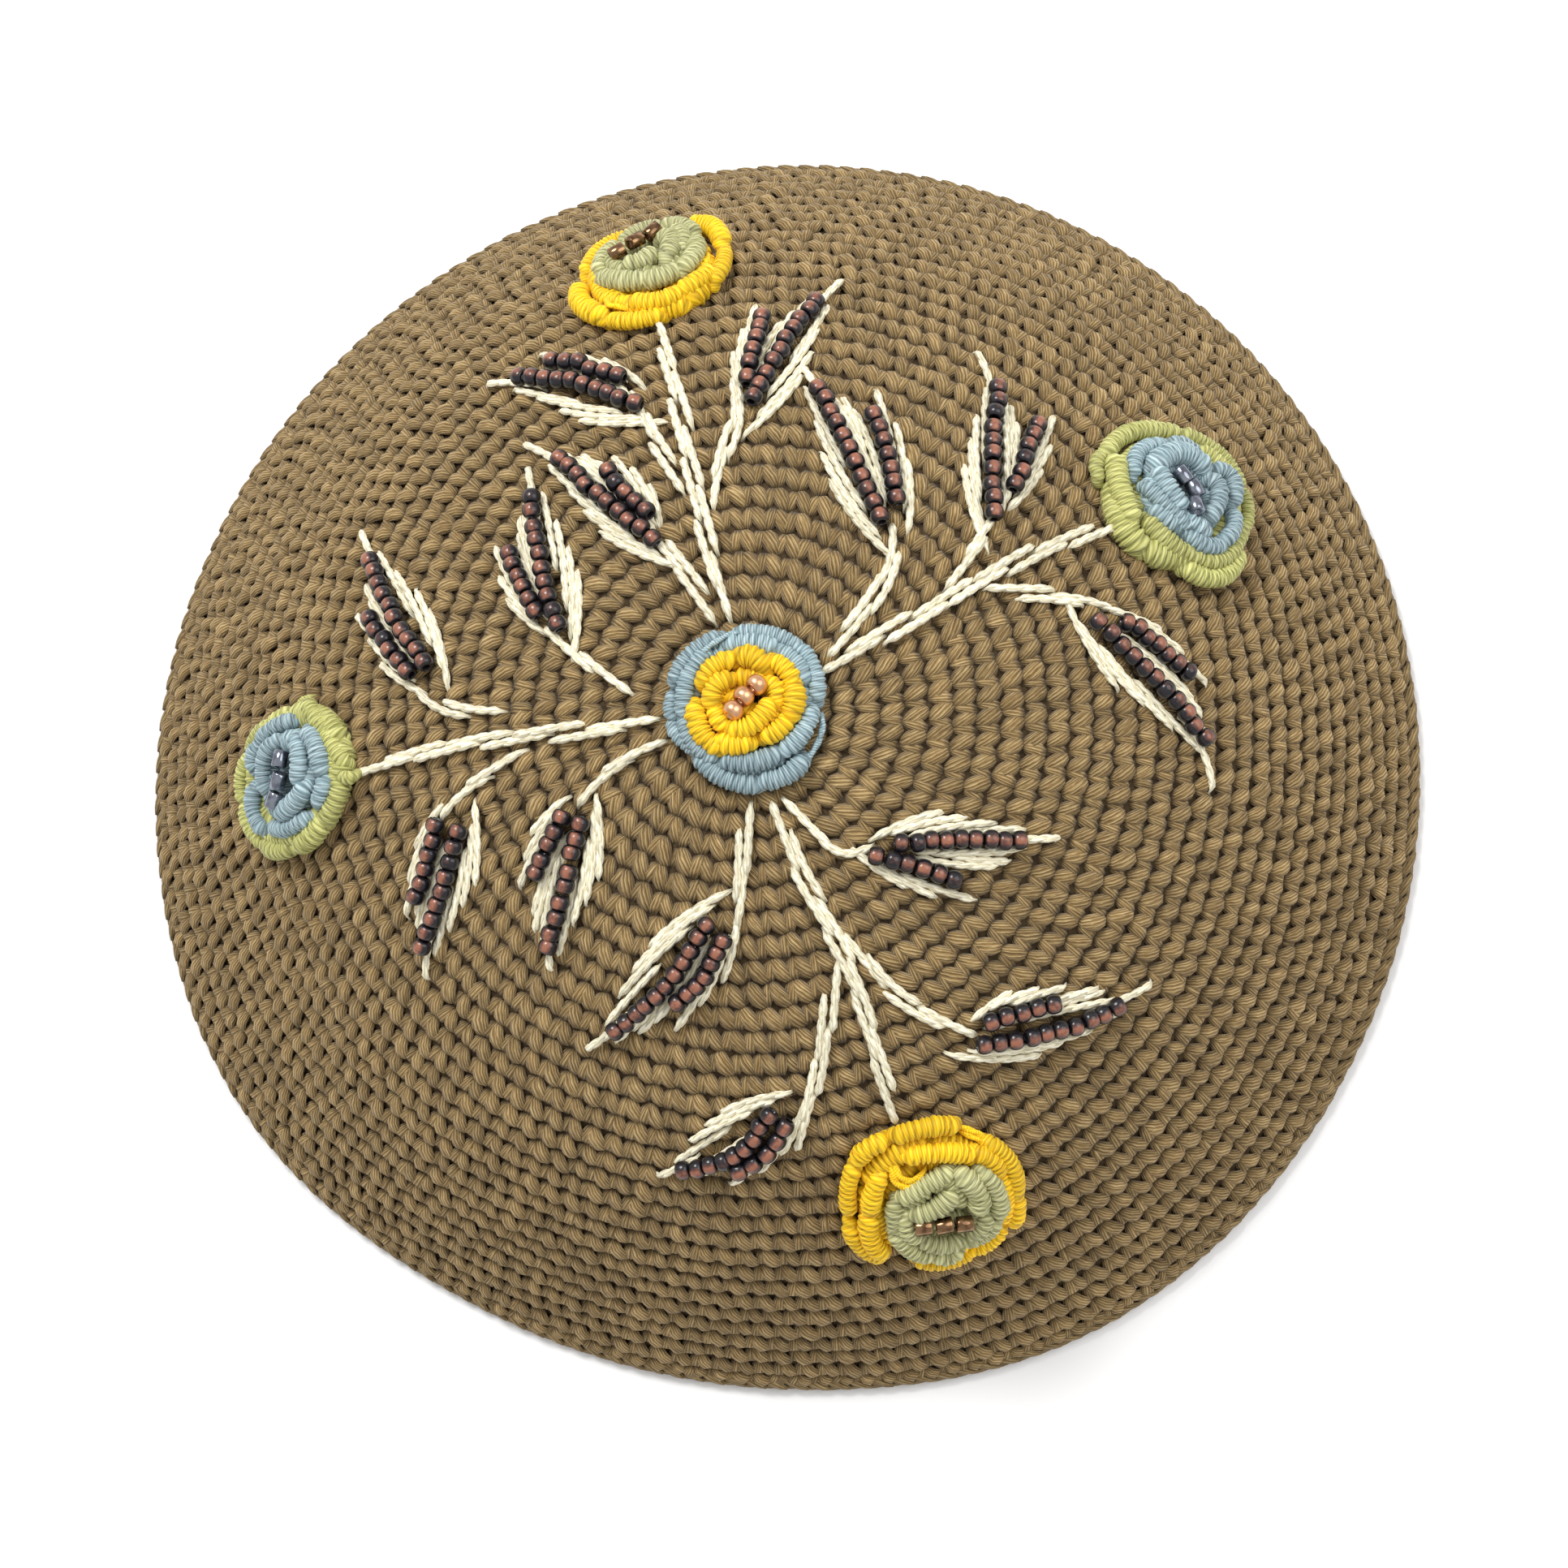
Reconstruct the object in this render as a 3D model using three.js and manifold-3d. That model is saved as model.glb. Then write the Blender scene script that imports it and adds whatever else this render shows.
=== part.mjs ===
// A crocheted skullcap, lying on its rim as it does by itself: a hollow dome of close crochet, a corded edging
// round its rim, five wound-thread roses, each a ring of petals round a heart, and fourteen stitched leaves.
// Millimetres, +Z up. The origin is on the ground under the middle of the rim. +X is to the right and +Y is up
// on the flower chart, which is drawn as if the dome were smoothed out flat round the centre of its crown.
import * as THREE from 'three';
import Module from 'manifold-3d';

const wasm = await Module();
wasm.setup();

// Sizes
const rimDiameter = 170;        // over the edging, mean of the slightly uneven rim
const crownHeight = 52;         // ground to the outside of the dome's top, under the middle rose
const wall = 2.4;               // thickness of the crochet
const edgingThickness = 3.4;    // the cord-like last round that binds the rim
const edgingFlat = 0.5;         // how far the edging is pressed flat where it rests
const seatGap = 0.3;            // clearance between two pieces that touch
const shoulderAngle = 58;       // steepest slope of the dome's wall, degrees
const shoulderSpread = 1.4;     // above 1, the top stays flatter and the shoulder is rounder

const roseRadius = 10.8;        // outside of a ring of petals
const petalThickness = 3.2;     // one wound petal
const petalTuck = 0.35;          // how far the end of a petal is drawn in beside the next one
const petalRise = 1.2;           // how far a petal climbs, to lie over the start of the next one
const heartRise = 0.7;          // how far a heart stands above its petals
const petalCount = 5;
const leafThickness = 1.5;      // stitches lying on the crochet

const aroundCrown = 56;         // facets round the dome
const downCrown = 15;           // facets from its top to its rim

const deg = Math.PI / 180;
const edgingRadius = edgingThickness / 2;
const edgingLevel = edgingRadius - edgingFlat;              // height of the edging's middle line
const ringRadius = rimDiameter / 2 - edgingRadius;          // radius of the edging's middle line
const domeRise = crownHeight - wall / 2 - edgingLevel;      // edging's middle line to the middle of the wall on top

// The rim isn't a true circle: it is longest across the lower left and upper right, and one stretch
// in front on the left is pushed in. Each row is a direction in degrees and the share of the rim's radius there.
const rimOutline = [
  { direction: 0, share: 1.005 },
  { direction: 30, share: 1.003 },
  { direction: 60, share: 0.997 },
  { direction: 90, share: 0.989 },
  { direction: 120, share: 0.991 },
  { direction: 150, share: 0.999 },
  { direction: 180, share: 1.013 },
  { direction: 210, share: 1.017 },
  { direction: 240, share: 0.975 },
  { direction: 270, share: 0.977 },
  { direction: 300, share: 1.014 },
  { direction: 330, share: 1.01 },
];

// Soft dents in the wall: the direction in degrees, how far down the wall from the top as a share of it,
// the half width in degrees, the half height as a share of the wall, and the depth as a share of the dome's rise.
const dents = [
  { direction: 201, down: 0.8, halfWidth: 17, halfHeight: 0.17, depth: 0.036 },
  { direction: 152, down: 0.83, halfWidth: 22, halfHeight: 0.16, depth: 0.02 },
  { direction: 255, down: 0.9, halfWidth: 24, halfHeight: 0.2, depth: 0.014 },
];

// The roses: the middle of each on the chart, across and up, as shares of the wall's length from top to rim,
// its size as a share of roseRadius, and the direction of its first petal in degrees.
const roses = [
  { name: 'centre', across: 0.0, up: -0.004, size: 0.96, turn: 20, petals: 0x9db8c4, heart: 0xe0a317 },
  { name: 'top', across: -0.151, up: 0.612, size: 0.97, turn: 60, petals: 0xe9ac1b, heart: 0xa7ad80 },
  { name: 'right', across: 0.527, up: 0.283, size: 1.01, turn: 100, petals: 0xb1ba72, heart: 0x8fb0c2 },
  { name: 'left', across: -0.588, up: -0.047, size: 0.98, turn: 150, petals: 0xb1ba72, heart: 0x8fb0c2 },
  { name: 'bottom', across: 0.223, up: -0.592, size: 1.07, turn: 75, petals: 0xe9ac1b, heart: 0xa7ad80 },
];

// The leaves: base and tip of each on the chart, its half width, and how far it bows to its left,
// all as shares of the wall's length from top to rim.
const leaves = [
  { name: 'leaf_01', baseAcross: -0.142, baseUp: 0.416, tipAcross: -0.355, tipUp: 0.471, halfWidth: 0.044, bow: 0.01 },
  { name: 'leaf_02', baseAcross: -0.006, baseUp: 0.41, tipAcross: 0.104, tipUp: 0.606, halfWidth: 0.041, bow: 0.008 },
  { name: 'leaf_03', baseAcross: -0.11, baseUp: 0.225, tipAcross: -0.285, tipUp: 0.361, halfWidth: 0.044, bow: -0.006 },
  { name: 'leaf_04', baseAcross: -0.238, baseUp: 0.106, tipAcross: -0.277, tipUp: 0.31, halfWidth: 0.044, bow: -0.012 },
  { name: 'leaf_05', baseAcross: -0.408, baseUp: 0.064, tipAcross: -0.525, tipUp: 0.267, halfWidth: 0.041, bow: 0.0 },
  { name: 'leaf_06', baseAcross: 0.175, baseUp: 0.235, tipAcross: 0.08, tipUp: 0.435, halfWidth: 0.044, bow: -0.02 },
  { name: 'leaf_07', baseAcross: 0.314, baseUp: 0.257, tipAcross: 0.288, tipUp: 0.49, halfWidth: 0.044, bow: -0.03 },
  { name: 'leaf_08', baseAcross: 0.44, baseUp: 0.124, tipAcross: 0.58, tipUp: -0.075, halfWidth: 0.041, bow: 0.012 },
  { name: 'leaf_09', baseAcross: -0.373, baseUp: -0.123, tipAcross: -0.418, tipUp: -0.305, halfWidth: 0.041, bow: 0.0 },
  { name: 'leaf_10', baseAcross: -0.211, baseUp: -0.117, tipAcross: -0.247, tipUp: -0.297, halfWidth: 0.041, bow: 0.0 },
  { name: 'leaf_11', baseAcross: -0.03, baseUp: -0.254, tipAcross: -0.205, tipUp: -0.405, halfWidth: 0.047, bow: 0.006 },
  { name: 'leaf_12', baseAcross: 0.157, baseUp: -0.168, tipAcross: 0.375, tipUp: -0.158, halfWidth: 0.047, bow: -0.018 },
  { name: 'leaf_13', baseAcross: 0.275, baseUp: -0.396, tipAcross: 0.503, tipUp: -0.34, halfWidth: 0.041, bow: -0.016 },
  { name: 'leaf_14', baseAcross: 0.045, baseUp: -0.488, tipAcross: -0.13, tipUp: -0.583, halfWidth: 0.044, bow: 0.012 },
];

// The middle face of the wall, from the top down to the edging's middle line: radius, height and slope
// at a share of the way down. Its slope grows from nothing to the shoulder angle.
const steps = 400;
const curve = [];
{
  const run = [0];
  const drop = [0];
  for (let i = 0; i < steps; i++) {
    const slope = shoulderAngle * deg * Math.sin(90 * deg * ((i + 0.5) / steps) ** shoulderSpread);
    run.push(run[i] + Math.cos(slope));
    drop.push(drop[i] + Math.sin(slope));
  }
  let length = 0;
  for (let i = 0; i <= steps; i++) {
    const radius = ringRadius * run[i] / run[steps];
    const height = edgingLevel + domeRise * (1 - drop[i] / drop[steps]);
    if (i > 0) length += Math.hypot(radius - curve[i - 1].radius, height - curve[i - 1].height);
    curve.push({ radius, height, length });
  }
}
const wallLength = curve[steps].length;                     // over the dome, from its top to the edging
const lastRow = 1 - (edgingRadius + seatGap) / wallLength;  // the crochet stops here, clear of the edging

function onCurve(share) {
  const want = Math.max(0, share) * wallLength;
  let i = 1;
  while (i < steps && curve[i].length < want) i++;
  const a = curve[i - 1];
  const b = curve[i];
  const part = (want - a.length) / (b.length - a.length);
  const slope = Math.atan2(a.height - b.height, b.radius - a.radius);
  return {
    radius: a.radius + (b.radius - a.radius) * part,
    height: a.height + (b.height - a.height) * part,
    slope: share <= 0 ? 0 : slope,
  };
}

function rimShare(angle) {
  const place = (((angle / deg) % 360 + 360) % 360) / 360 * rimOutline.length;
  const i = Math.floor(place);
  const p = place - i;
  const at = (k) => rimOutline[(k + rimOutline.length) % rimOutline.length].share;
  const [a, b, c, d] = [at(i - 1), at(i), at(i + 1), at(i + 2)];
  return b + 0.5 * p * (c - a + p * (2 * a - 5 * b + 4 * c - d + p * (3 * (b - c) + d - a)));
}

function dentDepth(share, angle) {
  let depth = 0;
  for (const dent of dents) {
    const turn = ((angle / deg - dent.direction) % 360 + 540) % 360 - 180;
    const away = (turn / dent.halfWidth) ** 2 + ((share - dent.down) / dent.halfHeight) ** 2;
    depth += dent.depth * domeRise * Math.exp(-away);
  }
  return depth * (1 - share ** 8);   // the edging holds its line
}

// A point at a share of the way down the wall, in a direction, lifted off the wall's middle face.
function onWall(share, angle, lift) {
  const at = onCurve(share);
  const raised = lift - dentDepth(share, angle);
  const radius = at.radius * (1 + (rimShare(angle) - 1) * share * share) + raised * Math.sin(at.slope);
  return [radius * Math.cos(angle), radius * Math.sin(angle), at.height + raised * Math.cos(at.slope)];
}

// A point by its place on the chart, in shares of the wall's length, lifted off the dome's outside.
function onChart(across, up, lift) {
  return onWall(Math.hypot(across, up), Math.atan2(up, across), wall / 2 + lift);
}

// A closed body from rows of points that run round it, each row with as many points as the others.
// Its two ends are closed by a point each, or it closes on itself.
function bodyFromRows(rows, first, last) {
  const around = rows[0].length;
  const points = rows.flat();
  const faces = [];
  const joined = first ? rows.length - 1 : rows.length;
  for (let i = 0; i < joined; i++) {
    const k = (i + 1) % rows.length;
    for (let j = 0; j < around; j++) {
      const n = (j + 1) % around;
      faces.push([i * around + j, k * around + j, k * around + n]);
      faces.push([i * around + j, k * around + n, i * around + n]);
    }
  }
  if (first) {
    const start = points.push(first) - 1;
    const end = points.push(last) - 1;
    const tail = (rows.length - 1) * around;
    for (let j = 0; j < around; j++) {
      const n = (j + 1) % around;
      faces.push([start, j, n]);
      faces.push([end, tail + n, tail + j]);
    }
  }
  return outward(points, faces);
}

// Faces turned so that they all look out of the body.
function outward(points, faces) {
  let volume = 0;
  for (const [a, b, c] of faces) {
    const [p, q, r] = [points[a], points[b], points[c]];
    volume += p[0] * (q[1] * r[2] - q[2] * r[1]) + p[1] * (q[2] * r[0] - q[0] * r[2]) + p[2] * (q[0] * r[1] - q[1] * r[0]);
  }
  return { points, faces: volume < 0 ? faces.map(([a, b, c]) => [a, c, b]) : faces };
}

function solid(body) {
  return new wasm.Manifold(new wasm.Mesh({
    numProp: 3,
    vertProperties: new Float32Array(body.points.flat()),
    triVerts: new Uint32Array(body.faces.flat()),
  }));
}

function joined(bodies) {
  const whole = bodies.map(solid).reduce((a, b) => a.add(b));
  const mesh = whole.getMesh();
  return geometryOf(Array.from(mesh.vertProperties), Array.from(mesh.triVerts));
}

function geometryOf(numbers, index) {
  const geometry = new THREE.BufferGeometry();
  geometry.setAttribute('position', new THREE.BufferAttribute(new Float32Array(numbers), 3));
  geometry.setIndex(index);
  geometry.computeVertexNormals();
  return geometry;
}

const cap = new THREE.Group();

function addPiece(name, geometry, color, roughness) {
  const material = new THREE.MeshStandardMaterial({ color, roughness, metalness: 0, flatShading: true });
  const mesh = new THREE.Mesh(geometry, material);
  mesh.name = name;
  cap.add(mesh);
}

// The crown: one wall of crochet, worked round and round from its top, open below.
{
  const rows = [];
  const circle = (share, lift) => {
    const row = [];
    for (let j = 0; j < aroundCrown; j++) row.push(onWall(share, j * 360 * deg / aroundCrown, lift));
    return row;
  };
  for (let i = 1; i <= downCrown; i++) rows.push(circle(lastRow * i / downCrown, wall / 2));
  for (let i = downCrown; i >= 1; i--) rows.push(circle(lastRow * i / downCrown, -wall / 2));
  const crown = bodyFromRows(rows, onWall(0, 0, wall / 2), onWall(0, 0, -wall / 2));
  addPiece('crown', geometryOf(crown.points.flat(), crown.faces.flat()), 0x7c684b, 0.92);
}

// The edging: a corded round along the rim, pressed flat below, where the cap rests on it.
{
  const sides = 8;
  const rows = [];
  for (let j = 0; j < aroundCrown; j++) {
    const angle = j * 360 * deg / aroundCrown;
    const middle = ringRadius * rimShare(angle);
    const row = [];
    for (let k = 0; k < sides; k++) {
      const turn = (k + 0.5) * 360 * deg / sides;
      const across = middle + edgingRadius * Math.cos(turn) / Math.cos(180 * deg / sides);
      const height = Math.max(0, edgingLevel + edgingRadius * Math.sin(turn) / Math.cos(180 * deg / sides));
      row.push([across * Math.cos(angle), across * Math.sin(angle), height]);
    }
    rows.push(row);
  }
  const edging = bodyFromRows(rows);
  addPiece('rim_edging', geometryOf(edging.points.flat(), edging.faces.flat()), 0x6d5a3f, 0.92);
}

// One wound petal of a rose: a thick roll that bends round the rose's middle, thin at both its ends.
function petal(rose, from, to, startRadius, endRadius, thickness, lift, rise) {
  const stations = 5;
  const sides = 6;
  const shareRadius = Math.hypot(rose.across, rose.up);
  const away = Math.atan2(rose.up, rose.across);
  const girth = shareRadius > 0.05 ? onCurve(shareRadius).radius / (shareRadius * wallLength) : 1;
  const spot = (radius, angle, height) => {
    const outwards = radius * Math.cos(angle - away) / wallLength;
    const sideways = radius * Math.sin(angle - away) / wallLength / girth;
    const across = rose.across + outwards * Math.cos(away) - sideways * Math.sin(away);
    const up = rose.up + outwards * Math.sin(away) + sideways * Math.cos(away);
    return onChart(across, up, height);
  };
  const rows = [];
  const ends = [];
  for (let i = 0; i <= stations; i++) {
    const part = i / stations;
    const angle = from + (to - from) * part;
    const radius = startRadius + (endRadius - startRadius) * part;
    const half = thickness / 2 * Math.sqrt(Math.max(0.12, 1 - (2 * part - 1) ** 4));
    const height = lift + thickness / 2 + rise * part;
    if (i === 0 || i === stations) ends.push(spot(radius, angle, height));
    const row = [];
    for (let k = 0; k < sides; k++) {
      const turn = (k + 0.5) * 360 * deg / sides - 90 * deg;
      row.push(spot(radius + half * Math.cos(turn), angle, height + half * Math.sin(turn)));
    }
    rows.push(row);
  }
  return bodyFromRows(rows, ends[0], ends[1]);
}

// The roses: an overlapping ring of petals, and inside it a heart of three petals round two short ones,
// which leave a slot where the beads are sewn.
for (const rose of roses) {
  const outside = roseRadius * rose.size;
  const path = outside - petalThickness / 2;
  const ring = [];
  for (let k = 0; k < petalCount; k++) {
    const from = rose.turn * deg + k * 360 * deg / petalCount;
    const to = from + 1.3 * 360 * deg / petalCount;
    ring.push(petal(rose, from, to, path, path - petalTuck, petalThickness, seatGap, petalRise));
  }
  addPiece(`rose_${rose.name}_petals`, joined(ring), rose.petals, 0.7);

  const heartRadius = outside - petalThickness - petalTuck - seatGap;
  const heartPath = heartRadius - petalThickness / 2;
  const heart = [];
  for (let k = 0; k < 3; k++) {
    const from = (rose.turn + 40) * deg + k * 120 * deg;
    heart.push(petal(rose, from, from + 165 * deg, heartPath, heartPath - petalTuck, petalThickness, seatGap, heartRise));
  }
  const slotPath = Math.max(heartPath - petalThickness * 0.72, petalThickness * 0.4);
  for (const side of [0, 180]) {
    const from = (rose.turn + side - 80) * deg;
    heart.push(petal(rose, from, from + 160 * deg, slotPath, slotPath, petalThickness * 0.9, seatGap + heartRise, 0));
  }
  addPiece(`rose_${rose.name}_heart`, joined(heart), rose.heart, 0.7);
}

// The leaves: long stitches laid side by side, thickest along the middle and pointed at the tip.
for (const leaf of leaves) {
  const stations = 6;
  const alongAcross = leaf.tipAcross - leaf.baseAcross;
  const alongUp = leaf.tipUp - leaf.baseUp;
  const length = Math.hypot(alongAcross, alongUp);
  const leftAcross = -alongUp / length;
  const leftUp = alongAcross / length;
  const spot = (part, side, lift) => {
    const bow = leaf.bow * Math.sin(180 * deg * part) + side;
    return onChart(leaf.baseAcross + alongAcross * part + leftAcross * bow, leaf.baseUp + alongUp * part + leftUp * bow, lift);
  };
  const rows = [];
  for (let i = 0; i < stations; i++) {
    const part = (i + 0.35) / (stations + 0.1);
    const half = leaf.halfWidth * Math.sin(180 * deg * part ** 0.7);
    const low = seatGap;
    const middle = seatGap + leafThickness * 0.45;
    const high = seatGap + leafThickness;
    rows.push([
      spot(part, half * 0.8, low), spot(part, half, middle), spot(part, half * 0.5, high),
      spot(part, -half * 0.5, high), spot(part, -half, middle), spot(part, -half * 0.8, low),
    ]);
  }
  const body = bodyFromRows(rows, spot(0, 0, seatGap + leafThickness * 0.4), spot(1, 0, seatGap + leafThickness * 0.4));
  addPiece(leaf.name, geometryOf(body.points.flat(), body.faces.flat()), 0xe9e3cf, 0.8);
}

// The origin lies under the middle of the rim's length and width.
const bounds = new THREE.Box3().setFromObject(cap);
cap.position.set(-(bounds.min.x + bounds.max.x) / 2, -(bounds.min.y + bounds.max.y) / 2, 0);

export default cap;
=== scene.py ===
import math
import bpy
import numpy as np
from mathutils import Matrix, Vector


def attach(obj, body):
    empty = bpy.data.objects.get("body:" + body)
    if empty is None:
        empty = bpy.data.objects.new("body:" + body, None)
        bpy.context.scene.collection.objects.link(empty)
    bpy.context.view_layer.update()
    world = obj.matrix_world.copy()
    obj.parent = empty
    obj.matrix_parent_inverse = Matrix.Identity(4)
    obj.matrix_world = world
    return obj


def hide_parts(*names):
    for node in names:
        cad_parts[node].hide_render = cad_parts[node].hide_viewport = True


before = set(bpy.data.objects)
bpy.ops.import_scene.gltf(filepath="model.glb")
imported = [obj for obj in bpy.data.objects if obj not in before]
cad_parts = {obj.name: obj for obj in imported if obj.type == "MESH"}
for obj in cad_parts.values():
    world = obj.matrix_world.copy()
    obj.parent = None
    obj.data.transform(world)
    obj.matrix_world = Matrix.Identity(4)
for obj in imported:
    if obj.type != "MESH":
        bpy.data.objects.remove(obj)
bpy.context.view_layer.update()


# The crown: a wall of cotton crochet 2.4 mm thick, worked from its top in one long spiral of single crochet,
# 34 times round. Each stitch shows as a long slanted leg and a short one beside it that slants the other way,
# so that a round looks like a thick rope. It has no lining: the back of the stitches shows inside.
crown_height = 0.052
wall = 0.0024
ring_radius = 0.0833            # middle line of the rim's edging
ring_level = 0.0012
round_pitch = 0.00303
stitch_width = 0.00285
crown_middle = (0.00033, -0.0005)
rim_slope = math.radians(58)
slope_growth = 1.4
profile_steps = 400
# The rim's radius every 30 degrees, as a share of a true circle's: the cap lies a little out of round.
rim_outline = [1.005, 1.003, 0.997, 0.989, 0.991, 0.999, 1.013, 1.017, 0.975, 0.977, 1.014, 1.01]
# Each dent: its direction in degrees, how far down the wall, its half width in degrees, its half height and
# its depth, the last as a share of the dome's rise.
dents = [(201, 0.8, 17, 0.17, 0.036), (152, 0.83, 22, 0.16, 0.02), (255, 0.9, 24, 0.2, 0.014)]
chance = np.random.default_rng(34)

# The dome's profile, from its top to the rim: it steepens quickly at first and then more and more slowly.
dome_rise = crown_height - wall / 2 - ring_level
profile_share = (np.arange(profile_steps) + 0.5) / profile_steps
lean = rim_slope * np.sin(math.pi / 2 * profile_share ** slope_growth)
run = np.concatenate([[0], np.cumsum(np.cos(lean))])
drop = np.concatenate([[0], np.cumsum(np.sin(lean))])
curve_radius = ring_radius * run / run[-1]
curve_height = ring_level + dome_rise * (1 - drop / drop[-1])
curve_length = np.concatenate([[0], np.cumsum(np.hypot(np.diff(curve_radius), np.diff(curve_height)))])
curve_slope = np.arctan2(-np.gradient(curve_height), np.gradient(curve_radius))
curve_slope[0] = 0
wall_length = curve_length[-1]


def rim_share(angle):
    """The rim's radius in any direction, as a share of a true circle's, smooth between the twelve above."""
    place = (np.degrees(angle) % 360) / 30
    i = np.floor(place).astype(int)
    p = place - i
    a, b, c, d = [np.take(rim_outline, (i + k) % 12) for k in (-1, 0, 1, 2)]
    return b + 0.5 * p * (c - a + p * (2 * a - 5 * b + 4 * c - d + p * (3 * (b - c) + d - a)))


def round_middle(reach, angle, height):
    """Points at a reach and a height round the crown's middle line."""
    return np.stack([reach * np.cos(angle) + crown_middle[0],
                     reach * np.sin(angle) + crown_middle[1], height], -1)


def on_wall(share, angle, lift):
    """Points at a share of the way down the wall, in a direction, lifted off the middle of its thickness."""
    share, angle, lift = np.broadcast_arrays(share, angle, lift)
    length = np.clip(share, 0, 1) * wall_length
    radius = np.interp(length, curve_length, curve_radius)
    height = np.interp(length, curve_length, curve_height)
    slope = np.interp(length, curve_length, curve_slope)
    sunk = np.zeros(share.shape)
    for direction, down, half_width, half_height, depth in dents:
        turn = (np.degrees(angle) - direction + 540) % 360 - 180
        sunk += depth * dome_rise * np.exp(-(turn / half_width) ** 2 - ((share - down) / half_height) ** 2)
    raised = lift - sunk * (1 - np.clip(share, 0, 1) ** 8)
    reach = radius * (1 + (rim_share(angle) - 1) * share ** 2) + raised * np.sin(slope)
    return round_middle(reach, angle, height + raised * np.cos(slope))


def outward(share, angle):
    """The direction that points straight off the cloth."""
    away = on_wall(share, angle, 0.001) - on_wall(share, angle, 0.0)
    return away / np.linalg.norm(away, axis=-1, keepdims=True)


def yarn(middle, up, wide, tall, sides, shade, depth=None):
    """Lengths of yarn, closed at both ends: middle and up are (lengths, stations, 3), wide and tall half
    sizes."""
    lengths, stations, _ = middle.shape
    along = np.gradient(middle, axis=1)
    along /= np.linalg.norm(along, axis=-1, keepdims=True)
    side = np.cross(along, up)
    side /= np.linalg.norm(side, axis=-1, keepdims=True)
    top = np.cross(side, along)
    turn = 2 * math.pi * np.arange(sides) / sides
    wide = np.broadcast_to(wide, (lengths, stations))
    tall = np.broadcast_to(tall, (lengths, stations))
    points = (middle[:, :, None] + wide[..., None, None] * np.cos(turn)[:, None] * side[:, :, None]
              + tall[..., None, None] * np.sin(turn)[:, None] * top[:, :, None])
    spot = np.arange(lengths * stations * sides).reshape(lengths, stations, sides)
    beside = np.roll(spot, -1, axis=2)
    quads = np.stack([spot[:, :-1], spot[:, 1:], beside[:, 1:], beside[:, :-1]], -1).reshape(-1, 4)
    ends = np.concatenate([spot[:, 0], spot[:, -1, ::-1]])
    pieces = np.linalg.norm(np.diff(middle, axis=1), axis=-1)
    far = np.concatenate([np.zeros((lengths, 1)), np.cumsum(pieces, 1)], 1)
    u0 = np.broadcast_to(far[:, :-1, None] * 1000, (lengths, stations - 1, sides))
    u1 = np.broadcast_to(far[:, 1:, None] * 1000, (lengths, stations - 1, sides))
    v0 = np.broadcast_to(np.arange(sides) / sides, u0.shape)
    v1 = v0 + 1 / sides
    uv = np.stack([np.stack(corner, -1) for corner in ((u0, v0), (u1, v0), (u1, v1), (u0, v1))], -2)
    # Depth is painted shade: 1 where the yarn is fully lit, lower where it lies in shade.
    whole = (lengths, stations, sides)
    return {"points": points.reshape(-1, 3), "faces": [quads, ends],
            "uv": [uv.reshape(-1, 2), np.zeros((ends.size, 2))],
            "shade": np.broadcast_to(np.asarray(shade).reshape(-1, 1, 1), whole).reshape(-1),
            "depth": np.broadcast_to(1.0 if depth is None else depth, whole).reshape(-1)}


def sew_on(name, lots, finishes, replaced=()):
    """One piece of the cap from lots of points and faces, each lot in its own finish."""
    mesh = bpy.data.meshes.new(name)
    points = np.concatenate([lot["points"] for lot in lots])
    corners, starts, paint, uvs = [], [], [], []
    offset, begun = 0, 0
    for lot in lots:
        for faces, uv in zip(lot["faces"], lot["uv"]):
            count, size = faces.shape
            corners.append(faces.reshape(-1) + offset)
            starts.append(begun + size * np.arange(count))
            paint.append(np.full(count, lot.get("finish", 0)))
            uvs.append(uv)
            begun += count * size
        offset += len(lot["points"])
    corners = np.concatenate(corners)
    starts = np.concatenate(starts)
    mesh.vertices.add(len(points))
    mesh.vertices.foreach_set("co", points.astype(np.float32).ravel())
    mesh.loops.add(len(corners))
    mesh.loops.foreach_set("vertex_index", corners.astype(np.int32))
    mesh.polygons.add(len(starts))
    mesh.polygons.foreach_set("loop_start", starts.astype(np.int32))
    layer = mesh.uv_layers.new(name="yarn")
    layer.data.foreach_set("uv", np.concatenate(uvs).astype(np.float32).ravel())
    # Shade is a random tone; depth carries painted shade, and on lined beads the painted copper stripe.
    for what in ("shade", "depth"):
        values = np.concatenate([lot[what] for lot in lots])
        mesh.attributes.new(what, "FLOAT", "POINT").data.foreach_set("value", values.astype(np.float32))
    for finish in finishes:
        mesh.materials.append(finish)
    mesh.polygons.foreach_set("material_index", np.concatenate(paint).astype(np.int32))
    mesh.update(calc_edges=True)
    mesh.validate()
    mesh.polygons.foreach_set("use_smooth", np.full(len(mesh.polygons), True))
    piece = bpy.data.objects.new(name, mesh)
    bpy.context.scene.collection.objects.link(piece)
    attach(piece, "root")
    if replaced:
        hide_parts(*replaced)


def new_finish(name):
    """A plain finish, with its tree of nodes and its shader."""
    finish = bpy.data.materials.new(name)
    finish.use_nodes = True
    return finish, finish.node_tree, finish.node_tree.nodes["Principled BSDF"]


def clouds(tree, place, scale, detail=2.0):
    """Soft clouds over a place, smaller as the scale rises."""
    noise = tree.nodes.new("ShaderNodeTexNoise")
    noise.inputs["Scale"].default_value = scale
    noise.inputs["Detail"].default_value = detail
    tree.links.new(place, noise.inputs["Vector"])
    return noise.outputs[0]


def colour_steps(tree, level, *steps):
    """A colour that follows a level through steps of (level, colour), the lowest and the highest first."""
    ramp = tree.nodes.new("ShaderNodeValToRGB")
    for k, (place, colour) in enumerate(steps):
        step = ramp.color_ramp.elements[k] if k < 2 else ramp.color_ramp.elements.new(place)
        step.position = place
        step.color = (*colour, 1)
    tree.links.new(level, ramp.inputs[0])
    return ramp.outputs[0]


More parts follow.
